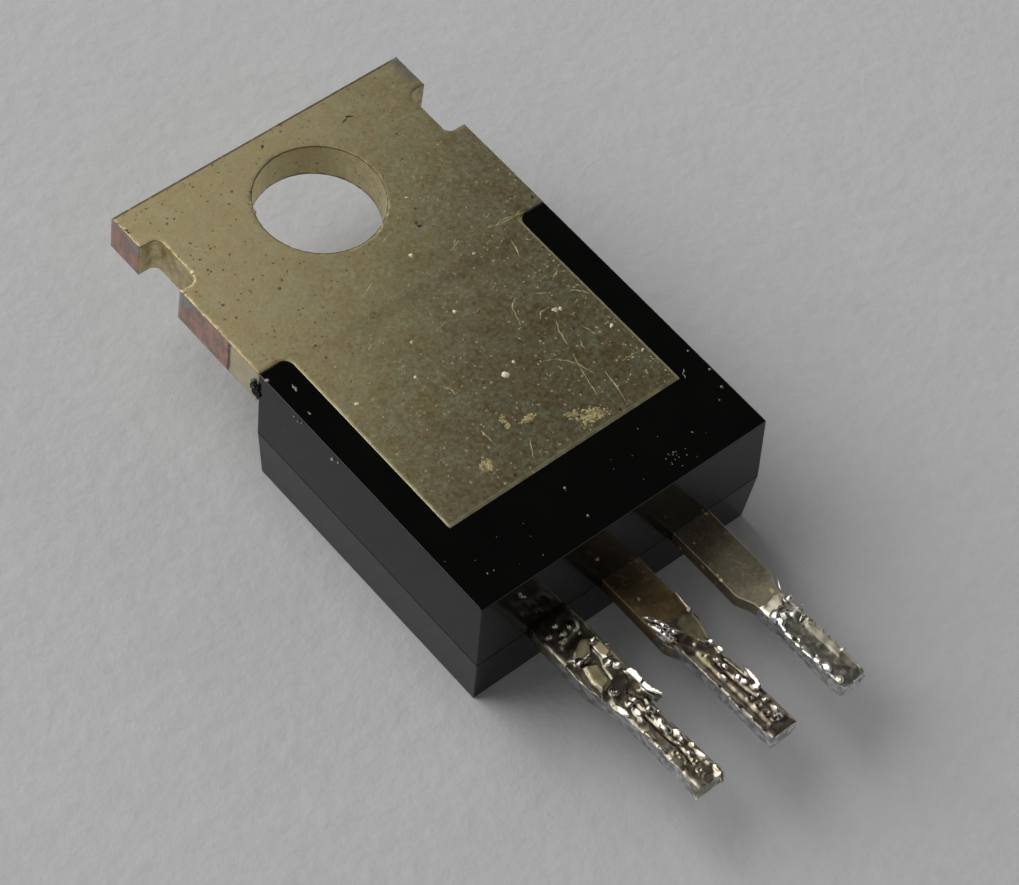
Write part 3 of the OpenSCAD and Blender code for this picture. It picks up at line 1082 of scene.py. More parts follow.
class Solder(Shells):
    """Solder on one lead, built up from shells that are melted into one surface.

    A place on the lead is (d, s, h): d from where the lead leaves the body, s across it towards +X,
    and h above its back face, which rises towards the tip."""

    def __init__(self, name, lead_x, size):
        super().__init__()
        self.name = name
        self.lead_x = lead_x
        self.exit_y = size.exit
        self.rise = size.lead_rise
        lead_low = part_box("right_lead")[0]
        self.end_d = self.exit_y - lead_low.y / MM
        self.top = lead_low.z / MM + LEAD_THICKNESS

    def lift(self, d):
        """How far the lead has risen at d."""
        return self.rise * np.clip((d - SHOULDER) / (self.end_d - SHOULDER), 0, 1.2)

    def at(self, d, s, h):
        d, s, h = (np.asarray(v, float) for v in (d, s, h))
        height = self.top + self.lift(d) + h
        return np.stack(np.broadcast_arrays(self.lead_x + s, self.exit_y - d, height), -1)

    def local(self):
        """Every vertex as (d, s, h)."""
        d = self.exit_y - self.places[:, 1]
        return np.c_[d, self.places[:, 0] - self.lead_x, self.places[:, 2] - self.top - self.lift(d)]

    def coat(self, stations):
        """A sleeve round the lead through stations of (d, left, right, above, below)."""
        angles = np.linspace(0, 2 * np.pi, RING_POINTS, endpoint=False)
        round_ways = (np.cos(angles), np.sin(angles))
        across, upward = (np.sign(way) * np.abs(way) ** SQUARENESS for way in round_ways)
        rings = []
        for d, left, right, above, below in stations:
            top = above + SKIN
            s = (right + left) / 2 + across * (right - left) / 2
            h = (top - below) / 2 + upward * (top + below) / 2
            rings.append(self.at(d, s, h))
        self.add(np.concatenate(rings), tube_faces(len(rings), RING_POINTS))

    def blob(self, d, s, h, long, wide, high, turn=0.0, lean=0.0):
        """An uneven ellipsoid, turned in the lead's plane and leaned over to the left, in degrees."""
        spin = turned(-lean, "Y") @ turned(-lean / 2, "X") @ turned(turn, "Z")
        verts, faces = BALL
        swell = 1 + wavy(verts, BALL_WAVE, BALL_UNEVEN, len(self.verts) % BALL_SEEDS)
        high *= LEANING_FLATTER if lean else 1.0
        shape = (verts * (wide, long, high) * swell[:, None]) @ np.array(spin).T
        self.add(shape + self.at(d, s, h + SKIN), faces)

    def slab(self, *corners):
        """A flat-topped chip of solder with these corners, each (d, s, h)."""
        top = np.array([self.at(d, s, h + SKIN) for d, s, h in corners])
        self.add(np.concatenate([top, top - (0, 0, SLAB_DEPTH)]), tube_faces(2, len(corners)))

    def blobs(self, rows, turn=0.0, lean=0.0):
        for row in rows:
            self.blob(*row, turn=turn, lean=lean)

    def ridge(self, points):
        """A row of overlapping blobs through points of (d, s, h, radius)."""
        points = np.array(points, float)
        for a, b in zip(points, points[1:]):
            length = np.linalg.norm((b - a)[:3])
            count = max(2, math.ceil(length / (RIDGE_STEP * min(a[3], b[3]))))
            for i in range(count + 1):
                d, s, h, radius = a + (b - a) * i / count
                self.blob(d, s, h, radius, radius, radius)

    def melt(self):
        """Joins the shells into one closed surface of small faces."""
        mesh = bpy.data.meshes.new(self.name)
        mesh.from_pydata(self.verts, [], self.faces)
        self.piece = add_to_scene(self.name, mesh)
        remesh = self.piece.modifiers.new("melt", "REMESH")
        remesh.mode = "VOXEL"
        remesh.voxel_size = VOXEL
        smooth = self.piece.modifiers.new("smooth", "SMOOTH")
        smooth.factor = SMOOTHING
        smooth.iterations = SMOOTHINGS
        bake(self.piece)
        self.piece.data.transform(Matrix.Scale(MM, 4))
        self.places = coordinates(self.piece)

    def push(self, amount):
        """Moves every vertex out along its normal by its amount."""
        move_to(self.piece, self.places)
        self.places = self.places + normals(self.piece) * amount[:, None]
        move_to(self.piece, self.places)

    def dent(self, points, radius, depth):
        """Presses a soft groove along points of (d, s, h)."""
        places = self.local()
        near = np.full(len(places), 9.0)
        for a, b in zip(points, points[1:] or points):
            a, b = np.array(a, float), np.array(b, float)
            along = b - a
            share = np.clip(((places - a) @ along) / max(along @ along, 1e-9), 0, 1)
            near = np.minimum(near, np.linalg.norm(places - a - share[:, None] * along, axis=1))
        self.push(-depth * np.clip(1 - (near / radius) ** 2, 0, 1) ** 2)

    def crater(self, d, s, h, radius, depth):
        """A round hollow with a raised lip."""
        near = np.linalg.norm(self.local() - (d, s, h), axis=1) / radius
        lip = LIP * np.exp(-((near - 1) / LIP_WIDTH) ** 2)
        self.push(depth * (lip - np.exp(-(near / CRATER_WIDTH) ** 2)))

    def raised(self):
        """How far each vertex stands above the plain coat, from 0 to 1."""
        return np.clip((self.local()[:, 2] - COAT_TOP) / LUMP_HEIGHT, 0, 1)

    def ripple(self, first_seed):
        """Makes the surface uneven: in long and short waves all over, and in finer ones where it lies low."""
        for size, height, seed in RIPPLES:
            self.push(wavy(self.places, size, height, first_seed + seed))
        size, height, seed = LOW_RIPPLE
        self.push(wavy(self.places, size, height, first_seed + seed) * (1 - self.raised()))

    def settle(self):
        """Keeps the skin over the lead's metal, and notes at each vertex how hollow and how high it is."""
        h = self.local()[:, 2]
        facing = normals(self.piece)
        thin = (facing[:, 2] > FACING_UP) & (h < THINNEST) & (h > SKIN_FROM)
        self.places[thin, 2] += THINNEST - h[thin]
        move_to(self.piece, self.places)
        mesh = self.piece.data
        sides = np.empty(len(mesh.edges) * 2, int)
        mesh.edges.foreach_get("vertices", sides)
        here, there = np.concatenate([sides.reshape(-1, 2), sides.reshape(-1, 2)[:, ::-1]]).T
        neighbours = np.bincount(here, minlength=len(h))

        def blurred(values):
            return np.bincount(here, weights=values[there], minlength=len(h)) / neighbours

        soft = self.places.copy()
        for _ in range(HOLLOW_REACH):
            soft = np.stack([blurred(column) for column in soft.T], 1)
        hollow = ((soft - self.places) * normals(self.piece)).sum(1) / HOLLOW_FULL
        hollow = blurred(np.clip(0.5 + 0.5 * hollow, 0, 1))
        raised = self.raised() * (facing[:, 2] > 0)
        for name, values in (("hollow", hollow), ("raised", blurred(raised))):
            mesh.attributes.new(name, "FLOAT", "POINT").data.foreach_set("value", values.astype(np.float32))


def solder_left(job):
    """Solder all over the lead: crags near the body, a hook over the shoulder, lumps to the tip."""
    job.coat([(0.10, -0.68, 0.66, 0.01, 0.47), (0.5, -0.70, 0.68, 0.03, 0.48), (1.5, -0.70, 0.69, 0.02, 0.49),
              (2.4, -0.69, 0.67, 0.02, 0.49), (2.95, -0.50, 0.50, 0.03, 0.48), (3.4, -0.45, 0.45, 0.03, 0.48),
              (4.2, -0.43, 0.43, 0.02, 0.48), (5.2, -0.45, 0.44, 0.03, 0.49), (5.9, -0.47, 0.46, 0.04, 0.50),
              (6.32, -0.46, 0.46, 0.04, 0.50)])
    job.blobs([(0.31, -0.11, 0.04, 0.07, 0.07, 0.07), (0.61, -0.09, 0.04, 0.09, 0.08, 0.09),
               (0.47, -0.46, 0.03, 0.08, 0.07, 0.08), (0.78, -0.24, 0.03, 0.06, 0.10, 0.07),
               (0.55, 0.30, 0.03, 0.22, 0.16, 0.06)])
    job.slab((1.0, 0.20, 0.09), (1.15, 0.35, 0.14), (1.60, 0.0, 0.20), (1.62, -0.35, 0.11),
             (1.35, -0.50, 0.04))
    job.blob(1.58, -0.36, 0.11, 0.10, 0.10, 0.05, lean=20)
    job.slab((1.24, 0.26, 0.08), (1.22, 0.52, 0.17), (1.82, 0.54, 0.17), (1.92, 0.24, 0.06))
    job.blobs([(1.25, 0.40, 0.12, 0.11, 0.14, 0.07), (1.98, 0.28, 0.09, 0.14, 0.11, 0.06),
               (2.18, 0.42, 0.09, 0.14, 0.12, 0.06)], turn=12, lean=26)
    job.ridge([(1.52, 0.50, 0.03, 0.08), (1.56, 0.69, 0.03, 0.035)])
    job.slab((1.70, -0.30, 0.07), (1.88, 0.02, 0.12), (2.46, -0.06, 0.12), (2.57, -0.38, 0.07),
             (2.20, -0.42, 0.05))
    job.slab((1.90, 0.55, 0.04), (1.98, 0.12, 0.04), (2.45, 0.05, 0.06), (2.55, 0.48, 0.05))
    job.ridge([(1.45, -0.66, 0.0, 0.04), (2.08, -0.66, 0.0, 0.05), (2.66, -0.55, 0.0, 0.05)])
    job.slab((2.44, 0.47, 0.09), (2.46, 0.60, 0.17), (2.66, 0.67, 0.22), (2.98, 0.62, 0.24),
             (3.02, 0.48, 0.16))
    job.slab((2.86, 0.48, 0.12), (2.90, 0.62, 0.20), (3.30, 0.63, 0.23), (3.68, 0.72, 0.28),
             (3.66, 0.65, 0.24), (3.30, 0.49, 0.15))
    job.ridge([(2.55, 0.60, -0.02, 0.09), (3.00, 0.55, -0.02, 0.10), (3.48, 0.66, 0.0, 0.04)])
    job.ridge([(3.10, 0.40, -0.02, 0.09), (3.40, 0.52, -0.04, 0.08), (3.62, 0.60, -0.08, 0.04)])
    job.blob(2.77, -0.18, 0.03, 0.13, 0.12, 0.08)
    job.blob(3.27, -0.42, 0.04, 0.36, 0.12, 0.07, turn=12, lean=28)
    job.blobs([(3.24, 0.07, 0.06, 0.10, 0.08, 0.05), (3.28, -0.11, 0.06, 0.09, 0.08, 0.05),
               (3.57, -0.12, 0.06, 0.18, 0.09, 0.06), (3.84, -0.19, 0.04, 0.10, 0.06, 0.05),
               (3.91, 0.33, 0.06, 0.07, 0.07, 0.05), (4.14, 0.16, 0.06, 0.14, 0.11, 0.06),
               (4.69, 0.27, 0.06, 0.19, 0.10, 0.06), (4.96, 0.06, 0.05, 0.08, 0.07, 0.05),
               (5.20, 0.33, 0.05, 0.12, 0.08, 0.05), (5.52, 0.29, 0.06, 0.24, 0.08, 0.06)], turn=8, lean=26)
    job.blobs([(3.73, 0.22, 0.03, 0.15, 0.13, 0.10), (4.45, 0.13, 0.02, 0.20, 0.12, 0.10),
               (4.95, 0.27, 0.02, 0.12, 0.09, 0.08), (5.35, 0.10, 0.02, 0.12, 0.07, 0.07),
               (5.90, 0.30, 0.02, 0.14, 0.10, 0.07), (4.35, -0.36, 0.0, 0.20, 0.06, 0.06),
               (4.85, -0.38, 0.01, 0.16, 0.05, 0.06), (5.45, -0.40, 0.0, 0.24, 0.05, 0.06)], turn=8)
    job.ridge([(6.05, 0.36, 0.02, 0.09), (6.30, 0.32, 0.01, 0.08), (6.45, 0.22, -0.06, 0.05)])
    job.ridge([(6.15, -0.44, -0.33, 0.07), (6.34, -0.47, -0.42, 0.04)])
    job.melt()
    job.dent([(0.85, 0.2, 0.08), (1.0, -0.3, 0.05)], 0.18, 0.05)
    job.dent([(1.35, 0.22, 0.12), (1.62, 0.14, 0.14)], 0.06, 0.06)
    job.dent([(1.66, -0.36, 0.06), (1.74, 0.02, 0.10)], 0.06, 0.05)
    job.dent([(3.4, 0.0, 0.06), (3.78, -0.04, 0.06), (4.5, -0.06, 0.05), (5.04, 0.0, 0.05),
              (5.6, -0.06, 0.05)], 0.09, 0.10)
    job.dent([(2.95, 0.10, 0.06), (3.4, 0.28, 0.06), (3.9, 0.08, 0.06)], 0.08, 0.06)
    job.dent([(6.20, 0.0, 0.05)], 0.24, 0.18)
    job.crater(2.77, -0.18, 0.11, 0.07, 0.05)
    for d, s in ((5.12, -0.18), (5.27, -0.12), (5.54, -0.13), (5.61, 0.04), (5.88, -0.06)):
        job.crater(d, s, 0.06, 0.065, 0.04)
    job.ripple(0)
    job.settle()


def solder_centre(job):
    """A rough ridge runs down from the left edge, then channels and small craters to a square end."""
    job.coat([(2.0, -0.64, 0.65, 0.01, 0.46), (2.4, -0.66, 0.66, 0.01, 0.47), (2.9, -0.48, 0.48, 0.02, 0.48),
              (3.3, -0.43, 0.43, 0.02, 0.48), (4.6, -0.44, 0.44, 0.02, 0.49), (5.8, -0.46, 0.46, 0.03, 0.49),
              (6.36, -0.46, 0.45, 0.03, 0.49)])
    job.ridge([(1.49, -0.58, 0.0, 0.05), (1.64, -0.46, 0.02, 0.07), (1.94, -0.31, 0.02, 0.07),
               (2.20, -0.26, 0.03, 0.06), (2.48, -0.10, 0.02, 0.05)])
    job.ridge([(1.75, -0.60, 0.0, 0.07), (2.10, -0.50, 0.01, 0.09), (2.46, -0.43, 0.02, 0.08)])
    job.ridge([(2.48, -0.10, 0.01, 0.05), (2.80, 0.10, 0.02, 0.05), (3.09, 0.24, 0.03, 0.06)])
    job.slab((1.42, 0.62, 0.02), (1.40, 0.68, 0.05), (2.12, 0.66, 0.06), (2.16, 0.54, 0.01),
             (1.75, 0.58, 0.02))
    job.blobs([(1.58, -0.52, 0.05, 0.08, 0.05, 0.04), (1.80, -0.40, 0.07, 0.08, 0.06, 0.04),
               (2.02, -0.34, 0.07, 0.07, 0.06, 0.04), (1.98, -0.56, 0.05, 0.07, 0.05, 0.04),
               (2.26, -0.50, 0.07, 0.09, 0.05, 0.04), (2.34, -0.24, 0.06, 0.07, 0.05, 0.04),
               (3.15, 0.36, 0.06, 0.12, 0.07, 0.05), (3.46, 0.38, 0.07, 0.14, 0.07, 0.05),
               (3.27, -0.11, 0.04, 0.06, 0.06, 0.04), (3.40, -0.02, 0.04, 0.05, 0.06, 0.04),
               (3.66, 0.10, 0.06, 0.08, 0.05, 0.04), (3.94, 0.08, 0.07, 0.12, 0.09, 0.06),
               (4.16, -0.16, 0.05, 0.16, 0.06, 0.05), (4.40, 0.14, 0.06, 0.10, 0.09, 0.05),
               (4.60, 0.18, 0.07, 0.12, 0.07, 0.05), (4.91, 0.30, 0.06, 0.13, 0.08, 0.05),
               (5.14, 0.18, 0.04, 0.08, 0.07, 0.05), (5.68, 0.26, 0.05, 0.13, 0.05, 0.05)], turn=10, lean=26)
    job.blob(4.62, 0.45, 0.06, 0.46, 0.07, 0.05, turn=-2, lean=28)
    job.blobs([(5.36, 0.25, 0.02, 0.08, 0.07, 0.07), (5.95, 0.12, 0.03, 0.11, 0.10, 0.06)], turn=10)
    job.ridge([(2.95, -0.42, -0.02, 0.045), (3.5, -0.41, -0.02, 0.04), (4.3, -0.42, -0.03, 0.04)])
    job.ridge([(4.75, -0.43, -0.02, 0.06), (5.1, -0.44, -0.05, 0.05)])
    job.ridge([(5.6, -0.44, -0.03, 0.05), (6.0, -0.43, -0.03, 0.06)])
    job.melt()
    job.dent([(3.75, -0.02, 0.05), (4.4, -0.03, 0.05), (5.0, 0.04, 0.05)], 0.10, 0.08)
    job.dent([(3.75, 0.24, 0.06), (4.2, 0.30, 0.06), (4.75, 0.34, 0.06), (5.2, 0.36, 0.05)], 0.07, 0.07)
    job.dent([(2.6, -0.3, 0.03), (2.9, -0.1, 0.03)], 0.12, 0.05)
    job.dent([(3.2, -0.26, 0.05), (4.4, -0.26, 0.05), (5.9, -0.26, 0.05)], 0.15, 0.035)
    for d, s, size in ((5.09, -0.05, 0.075), (5.37, -0.03, 0.08), (5.68, -0.05, 0.085), (5.95, 0.01, 0.08),
                       (1.95, -0.46, 0.06), (2.28, -0.38, 0.06)):
        job.crater(d, s, 0.06, size, 0.06)
    job.ripple(10)
    job.settle()


def solder_right(job):
    """Solder only past the shoulder: a fillet, a patch of spikes, a smooth flank, a ragged end."""
    job.coat([(3.12, -0.43, 0.43, 0.01, 0.46), (3.4, -0.43, 0.44, 0.02, 0.48), (4.6, -0.44, 0.44, 0.02, 0.48),
              (5.6, -0.47, 0.45, 0.02, 0.49), (6.1, -0.48, 0.44, 0.01, 0.49),
              (6.36, -0.42, 0.38, -0.03, 0.47)])
    job.slab((3.05, 0.16, 0.02), (3.12, 0.30, 0.07), (3.48, 0.10, 0.13), (3.52, -0.30, 0.06),
             (3.30, -0.40, 0.0))
    job.blob(2.95, 0.50, 0.03, 0.20, 0.06, 0.04, turn=-20, lean=24)
    job.blob(3.43, 0.39, 0.08, 0.11, 0.10, 0.08, lean=20)
    job.blobs([(3.58, -0.28, 0.06, 0.15, 0.14, 0.07), (3.84, -0.31, 0.06, 0.14, 0.13, 0.07),
               (4.05, -0.40, 0.05, 0.14, 0.07, 0.05), (4.28, -0.44, 0.04, 0.24, 0.07, 0.05),
               (4.66, -0.46, 0.04, 0.14, 0.07, 0.05), (5.00, -0.46, 0.03, 0.24, 0.06, 0.05),
               (5.33, -0.42, 0.05, 0.15, 0.09, 0.06), (5.64, -0.36, 0.06, 0.17, 0.12, 0.07),
               (6.12, -0.34, 0.02, 0.10, 0.08, 0.05)], turn=4, lean=26)
    job.blobs([(3.80, -0.02, 0.02, 0.20, 0.14, 0.06), (3.95, 0.20, 0.03, 0.22, 0.16, 0.08)], turn=6)
    job.slab((4.20, 0.12, 0.02), (4.20, 0.36, 0.06), (5.50, 0.38, 0.07), (5.60, 0.16, 0.04))
    job.blobs([(4.20, 0.36, 0.04, 0.07, 0.05, 0.04), (4.42, 0.38, 0.04, 0.08, 0.05, 0.04),
               (4.70, 0.40, 0.04, 0.09, 0.05, 0.04), (4.95, 0.41, 0.04, 0.07, 0.05, 0.04),
               (5.20, 0.40, 0.04, 0.07, 0.05, 0.04), (5.50, 0.36, 0.06, 0.07, 0.12, 0.05)], turn=4, lean=24)
    job.melt()
    job.dent([(4.50, -0.36, 0.06)], 0.08, 0.09)
    job.dent([(5.18, -0.34, 0.06)], 0.07, 0.06)
    job.ripple(20)
    job.settle()
    chance = random.Random(SEED)
    for _ in range(SPIKES):
        spot = job.at(chance.uniform(3.62, 4.35), chance.uniform(0.08, 0.44), chance.uniform(0.04, 0.08))
        add_shard(job.piece, spot, chance, 0.06, 0.16)
    for _ in range(END_SPLINTERS):
        spot = job.at(chance.uniform(6.10, 6.40), chance.uniform(-0.42, 0.40), chance.uniform(-0.4, 0.03))
        add_shard(job.piece, spot, chance, 0.05, 0.12)


def add_shard(piece, spot, chance, wide, long):
    """A small four-sided splinter, pointing mostly up and outwards."""
    aim = Vector((chance.uniform(-0.8, 0.8), chance.uniform(-0.9, 0.5), chance.uniform(0.2, 1.0)))
    turn = aim.to_track_quat("Z", "Y").to_matrix() @ Matrix.Rotation(chance.uniform(0, 3), 3, "Z")
    width = wide * chance.uniform(0.5, 1.1)
    reach = long * chance.uniform(0.5, 1.1)
    thin = width * 0.6
    corners = [(width, 0, 0), (0, thin, 0), (-width, 0, 0), (0, -thin, 0), (0, 0, reach), (0, 0, -reach)]
    sides = [(0, 1, 4), (1, 2, 4), (2, 3, 4), (3, 0, 4), (1, 0, 5), (2, 1, 5), (3, 2, 5), (0, 3, 5)]
    shard = piece_from("shard", np.array(corners) @ np.array(turn).T + spot, sides)
    combine(piece, shard, "UNION")


# ---------------------------------------------------------------- marks, crumbs and dust

SCRATCHES = (
    ((2.05, -5.50), (2.20, -5.70), (1.95, -5.85), (1.80, -6.20), (1.70, -6.50)),
    ((2.80, -6.55), (2.50, -6.45), (2.20, -6.70)),
    ((3.15, -6.95), (3.10, -7.15)),
    ((3.00, -7.45), (3.15, -7.65), (3.15, -7.95)),
    ((2.70, -7.80), (2.65, -7.90), (2.60, -8.05)),
    ((2.60, -6.95), (2.45, -7.25), (2.30, -7.75)),
    ((1.25, -7.70), (1.65, -7.85), (1.95, -8.10), (2.15, -8.40), (2.25, -8.90)),
    ((3.75, -5.55), (3.70, -5.70), (3.40, -5.85)),
    ((3.40, -4.15), (3.30, -4.45), (3.20, -4.75)),
    ((3.15, -9.00), (3.55, -9.00), (3.95, -9.05)),
    ((2.55, -8.95), (2.35, -10.05)),
    ((-1.40, -8.40), (-1.40, -8.70), (-1.35, -9.05)),
    ((-0.50, -9.45), (-0.90, -10.0)),
    ((-1.40, -6.80), (-1.20, -6.90), (-1.20, -7.25)),
    ((4.40, -3.50), (3.60, -3.50), (2.85, -3.40)),
    ((4.35, -3.60), (3.30, -3.55)),
    ((2.70, -5.95), (3.05, -6.10)),
    ((3.50, -6.35), (3.80, -6.55), (3.95, -6.80)),
    ((2.20, -8.05), (2.00, -8.85), (1.85, -9.55)),
)
SCRATCH_WIDTH = 0.045
FLECKS = (
    (0.30, -7.50, 0.12), (0.75, -7.30, 0.06), (2.80, -6.65, 0.08), (2.95, -6.70, 0.06), (3.70, -7.95, 0.07),
    (-3.50, -5.90, 0.06), (0.80, -2.95, 0.07), (2.25, -3.90, 0.05), (2.00, -1.35, 0.06), (0.55, -5.10, 0.06),
    (-1.70, -6.15, 0.05), (-1.05, -5.20, 0.06), (3.85, -9.05, 0.06), (-4.35, 0.02, 0.07),
)
GRANULES = ((1.30, -9.85, 0.42, 0.25, 110), (-2.00, -9.45, 0.20, 0.28, 50), (-0.70, -8.60, 0.08, 0.30, 14),
            (-0.15, -8.93, 0.40, 0.07, 20), (0.80, -9.55, 0.35, 0.15, 12))
DARK_MARKS = (((2.20, 1.70), (2.45, 1.85), (2.65, 1.75)), ((1.60, -2.10), (1.60, -2.30), (1.75, -2.35)),
              ((-0.22, 2.32), (-0.08, 2.42)), ((-4.98, 2.28), (-4.90, 2.15), (-4.98, 2.05)))
BURRS = ((-1.62, 0.98, 0.05), (-1.72, 0.68, 0.06), (-1.70, 0.76, 0.04), (-1.66, 0.88, 0.03))
LOOSE_GRANULES = 170
LOOSE_TO_RIGHT = 1.9
DARK_WIDTH = 0.08

DUST = (
    (-5.00, -5.17, -0.16, 0.04), (-5.00, -5.34, -0.18, 0.06), (-5.00, -5.50, -0.09, 0.05),
    (-5.00, -6.77, -0.24, 0.06), (-5.00, -6.99, -0.14, 0.05), (-4.94, -3.92, 0.0, 0.06),
    (4.77, -11.22, 0.0, 0.05), (4.90, -10.60, 0.0, 0.04), (3.13, -11.85, 0.0, 0.04),
    (-0.80, -11.17, 0.0, 0.04), (-0.89, -12.18, 0.0, 0.04), (-4.15, -11.97, 0.0, 0.03),
    (-3.96, -12.00, 0.0, 0.025), (4.83, -9.80, 0.0, 0.03), (4.43, -11.50, 0.0, 0.03),
)
DUST_STROKES = (
    ((-4.47, -4.42), (-4.57, -4.65)),
    ((-4.70, -5.32), (-4.73, -5.43)),
    ((4.31, -10.18), (4.14, -10.43)),
)
DUST_WIDTH = 0.06
FIBRE = ((-3.80, -0.28), (-3.64, -0.43), (-3.52, -0.62))
FIBRE_WIDTH = 0.24
FIBRE_SUNK = 0.02
END_FLECK = (-0.98, -1.11, 0.07)
END_SLOPE = 0.10

SMALL_BALL = ball(2)
CRUMB_WAVE = 0.6
CRUMB_UNEVEN = 0.6
CRUMB_FLATNESS = 0.4
STROKE_STEPS = 4
STROKE_SHAKE = 0.018
LITTER_SHARP_TURN = math.radians(60)


class Litter(Shells):
    """Small lumps and strokes on the surfaces, gathered into one mesh; z is 0 on the back face."""

    def __init__(self):
        super().__init__()
        self.chance = random.Random(SEED)

    def lump(self, x, y, radius, z=0.0, flat=CRUMB_FLATNESS):
        """An uneven crumb, wider than it is high."""
        verts, faces = SMALL_BALL
        turn = np.array(Matrix.Rotation(self.chance.uniform(0, 3), 3, "Z"))
        shape = verts * (radius, radius * self.chance.uniform(0.5, 1.0), radius * flat)
        uneven = 1 + wavy(verts, CRUMB_WAVE, CRUMB_UNEVEN, self.chance.uniform(0, 9))
        self.add(shape * uneven[:, None] @ turn + (x, y, z), faces)

    def scatter(self, x, y, half_x, half_y, count, small=0.02, large=0.05, flat=CRUMB_FLATNESS):
        """Crumbs over a patch, closer together at its middle."""
        for _ in range(count):
            across, along = (max(-1, min(1, self.chance.gauss(0, 0.5))) for _ in range(2))
            self.lump(x + half_x * across, y + half_y * along, self.chance.uniform(small, large), flat=flat)

    def stroke(self, points, width):
        """A thin burr along the points, uneven in width and pointed at both ends."""
        points = np.array([point if len(point) == 3 else (*point, 0.0) for point in points], float)
        shares = np.linspace(0, 1, STROKE_STEPS + 1)[:-1]
        dense = [a + (b - a) * t for a, b in zip(points, points[1:]) for t in shares]
        dense = np.array(dense + [points[-1]])
        dense[1:-1] = (dense[:-2] + dense[1:-1] * 2 + dense[2:]) / 4
        count = len(dense)
        dense[:, :2] += [[self.chance.gauss(0, STROKE_SHAKE) for _ in range(2)] for _ in range(count)]
        rings = []
        for i, place in enumerate(dense):
            along = dense[min(i + 1, count - 1)] - dense[max(i - 1, 0)]
            side = np.array((-along[1], along[0], 0)) / np.linalg.norm(along[:2])
            swell = math.sin(math.pi * (i + 0.35) / (count - 0.3))
            half = 0.5 * width * swell * self.chance.uniform(0.3, 1.4)
            up = np.array((0, 0, half * 0.6))
            rings += [place + side * half, place + up, place - side * half, place - up]
        self.add(rings, tube_faces(count, 4))

    def finish(self, name, slot, *paint):
        piece = piece_from(name, self.verts, self.faces)
        shade_smoothly(piece, LITTER_SHARP_TURN)
        finish_piece(piece, crumb_paint(*paint), slot)


def add_gold_crumbs(size):
    """Burrs beside scratches, patches of granules, and loose ones that grow fewer towards the left."""
    gold = Litter()
    for points in SCRATCHES:
        gold.stroke(points, SCRATCH_WIDTH)
    for x, y, half_x, half_y, count in GRANULES:
        gold.scatter(x, y, half_x, half_y, count)
        gold.scatter(x, y, half_x * 0.7, half_y * 0.7, count // 4, 0.06, 0.11, 0.15)
    for x, y, radius in BURRS:
        gold.lump(x, y, radius)
    middle_y = (size.shoulder + size.pad_end) / 2
    half_y = (size.shoulder - size.pad_end) / 2
    for _ in range(LOOSE_GRANULES):
        across = 1 - gold.chance.random() ** 2 * LOOSE_TO_RIGHT
        x = size.pad_edge * 0.97 * across
        y = middle_y + half_y * 0.95 * gold.chance.uniform(-1, 1)
        gold.lump(x, y, gold.chance.uniform(0.012, 0.035))
    gold.finish("tab_gold_crumbs", "plated_copper", "gold_crumbs", srgb(154, 142, 98), srgb(104, 92, 60))


def add_flecks():
    cream = Litter()
    for x, y, radius in FLECKS:
        cream.lump(x, y, radius)
    cream.finish("tab_flecks", "plated_copper", "cream_flecks", srgb(200, 190, 160), srgb(150, 138, 104))


def add_dark_marks():
    dark = Litter()
    for points in DARK_MARKS:
        dark.stroke(points, DARK_WIDTH)
    dark.finish("tab_dark_marks", "plated_copper", "dark_marks", srgb(66, 56, 38), srgb(44, 36, 26))


def add_body_dust(end_y):
    """Pale dust on the plastic, with a large fibre and a fleck on the sloping end above the leads."""
    dust = Litter()
    for x, y, z, radius in DUST:
        dust.lump(x, y, radius, z)
    for points in DUST_STROKES:
        dust.stroke(points, DUST_WIDTH)
    dust.stroke([(x, end_y - FIBRE_SUNK + END_SLOPE * z, z) for x, z in FIBRE], FIBRE_WIDTH)
    x, z, radius = END_FLECK
    dust.lump(x, end_y + END_SLOPE * z, radius, z)
    dust.scatter(2.2, -12.15, 0.5, 0.35, 16, 0.010, 0.022)
    dust.scatter(0.0, -11.6, 4.8, 0.9, 14, 0.008, 0.018)
    dust.finish("body_dust", "epoxy", "pale_dust", srgb(130, 128, 120), srgb(70, 68, 62))


# ---------------------------------------------------------------- run

TIP_REACH = 0.05
BACK_REACH = 0.05


def add_floor(lowest):
    half = FLOOR_SIZE / 2
    corners = [(-half, -half, lowest), (half, -half, lowest), (half, half, lowest), (-half, half, lowest)]
    mesh = bpy.data.meshes.new("floor")
    mesh.from_pydata(corners, [], [(0, 1, 2, 3)])
    mesh.materials.append(paper_paint())
    add_to_scene("floor", mesh)


def paint_node(name, material):
    """A CAD node that stays as it is gets a material."""
    node = NODES[name]
    node.data.materials.clear()
    node.data.materials.append(material)


def tip_x(node):
    """The middle of the node's lead at its tip."""
    places = coordinates(NODES[node])
    tip = places[places[:, 1] < places[:, 1].min() + TIP_REACH]
    return (tip[:, 0].min() + tip[:, 0].max()) / 2


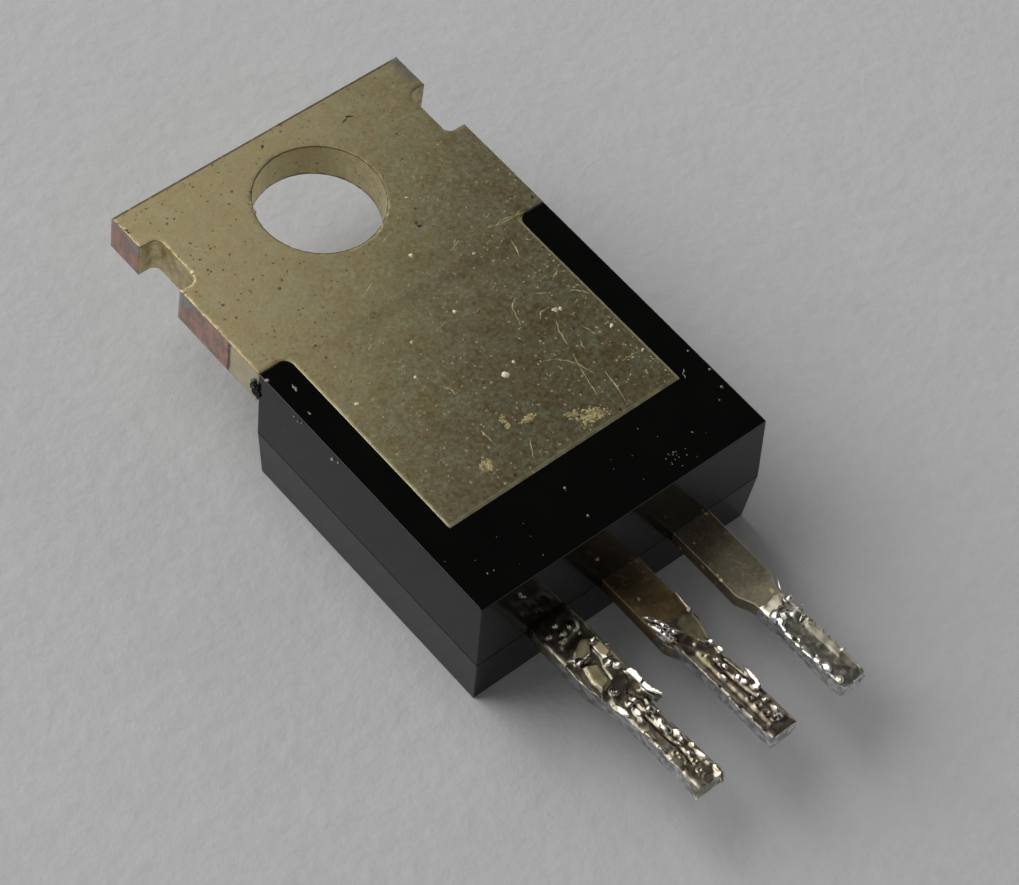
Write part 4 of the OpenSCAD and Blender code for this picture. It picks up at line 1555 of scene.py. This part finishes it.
def measure(outline, hole, bottom):
    """The sizes, in millimetres, that materials and marks are placed by."""
    body_low, body_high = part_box("moulded_body")
    lead_low, lead_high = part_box("left_lead")
    shoulder = body_high.y / MM
    between_sides = outline[:, 1] < shoulder - 1
    return SimpleNamespace(
        shoulder=shoulder,
        exit=body_low.y / MM,
        pad_end=outline[:, 1].min(),
        pad_edge=outline[between_sides][:, 0].max(),
        edge=outline[:, 0].max(),
        end=outline[:, 1].max(),
        bottom=bottom,
        hole=hole[:, 0].max(),
        lead_low=lead_low.z / MM,
        lead_rise=(lead_high.z - lead_low.z) / MM - LEAD_THICKNESS,
    )


bpy.context.scene.view_settings.view_transform = "Standard"
add_camera()
add_key_light()
add_room()
add_floor(cad_low[2])

tab, *rims, tab_bottom = make_tab()
size = measure(*rims, tab_bottom)
finish_piece(tab, worn_plating(size), "plated_copper", "tab_and_centre_lead")
finish_piece(make_body(size.shoulder), epoxy_paint(), "epoxy", "moulded_body")

for node, tones, gloss in (("left_lead", LEFT_TONES, LEFT_GLOSS), ("right_lead", RIGHT_TONES, OTHER_GLOSS)):
    paint = lead_paint(node + "_plating", size, tones, gloss)
    finish_piece(make_lead(node, tip_x(node), size.exit), paint, "plated_lead", node)

for side, node, build_up in (
    ("left", "left_lead", solder_left),
    ("centre", "tab_and_centre_lead", solder_centre),
    ("right", "right_lead", solder_right),
):
    lead_x = tip_x(node)
    job = Solder(side + "_lead_old_solder", lead_x, size)
    build_up(job)
    shade_smoothly(job.piece, SOLDER_SHARP_TURN)
    paint = solder_paint(side + "_solder", lead_x, size, SOLDER_LOOKS[side])
    finish_piece(job.piece, paint, "old_solder", side + "_lead_solder")

paint_node("chip", silicon_paint())
paint_node("chip_solder", dull_solder_paint())
drawn_wire = wire_paint()
for wire in ("left_bond_wire", "right_bond_wire_inner", "right_bond_wire_outer"):
    paint_node(wire, drawn_wire)

add_gold_crumbs(size)
add_flecks()
add_dark_marks()
body_places = coordinates(NODES["moulded_body"])
add_body_dust(body_places[body_places[:, 2] > -BACK_REACH][:, 1].min())
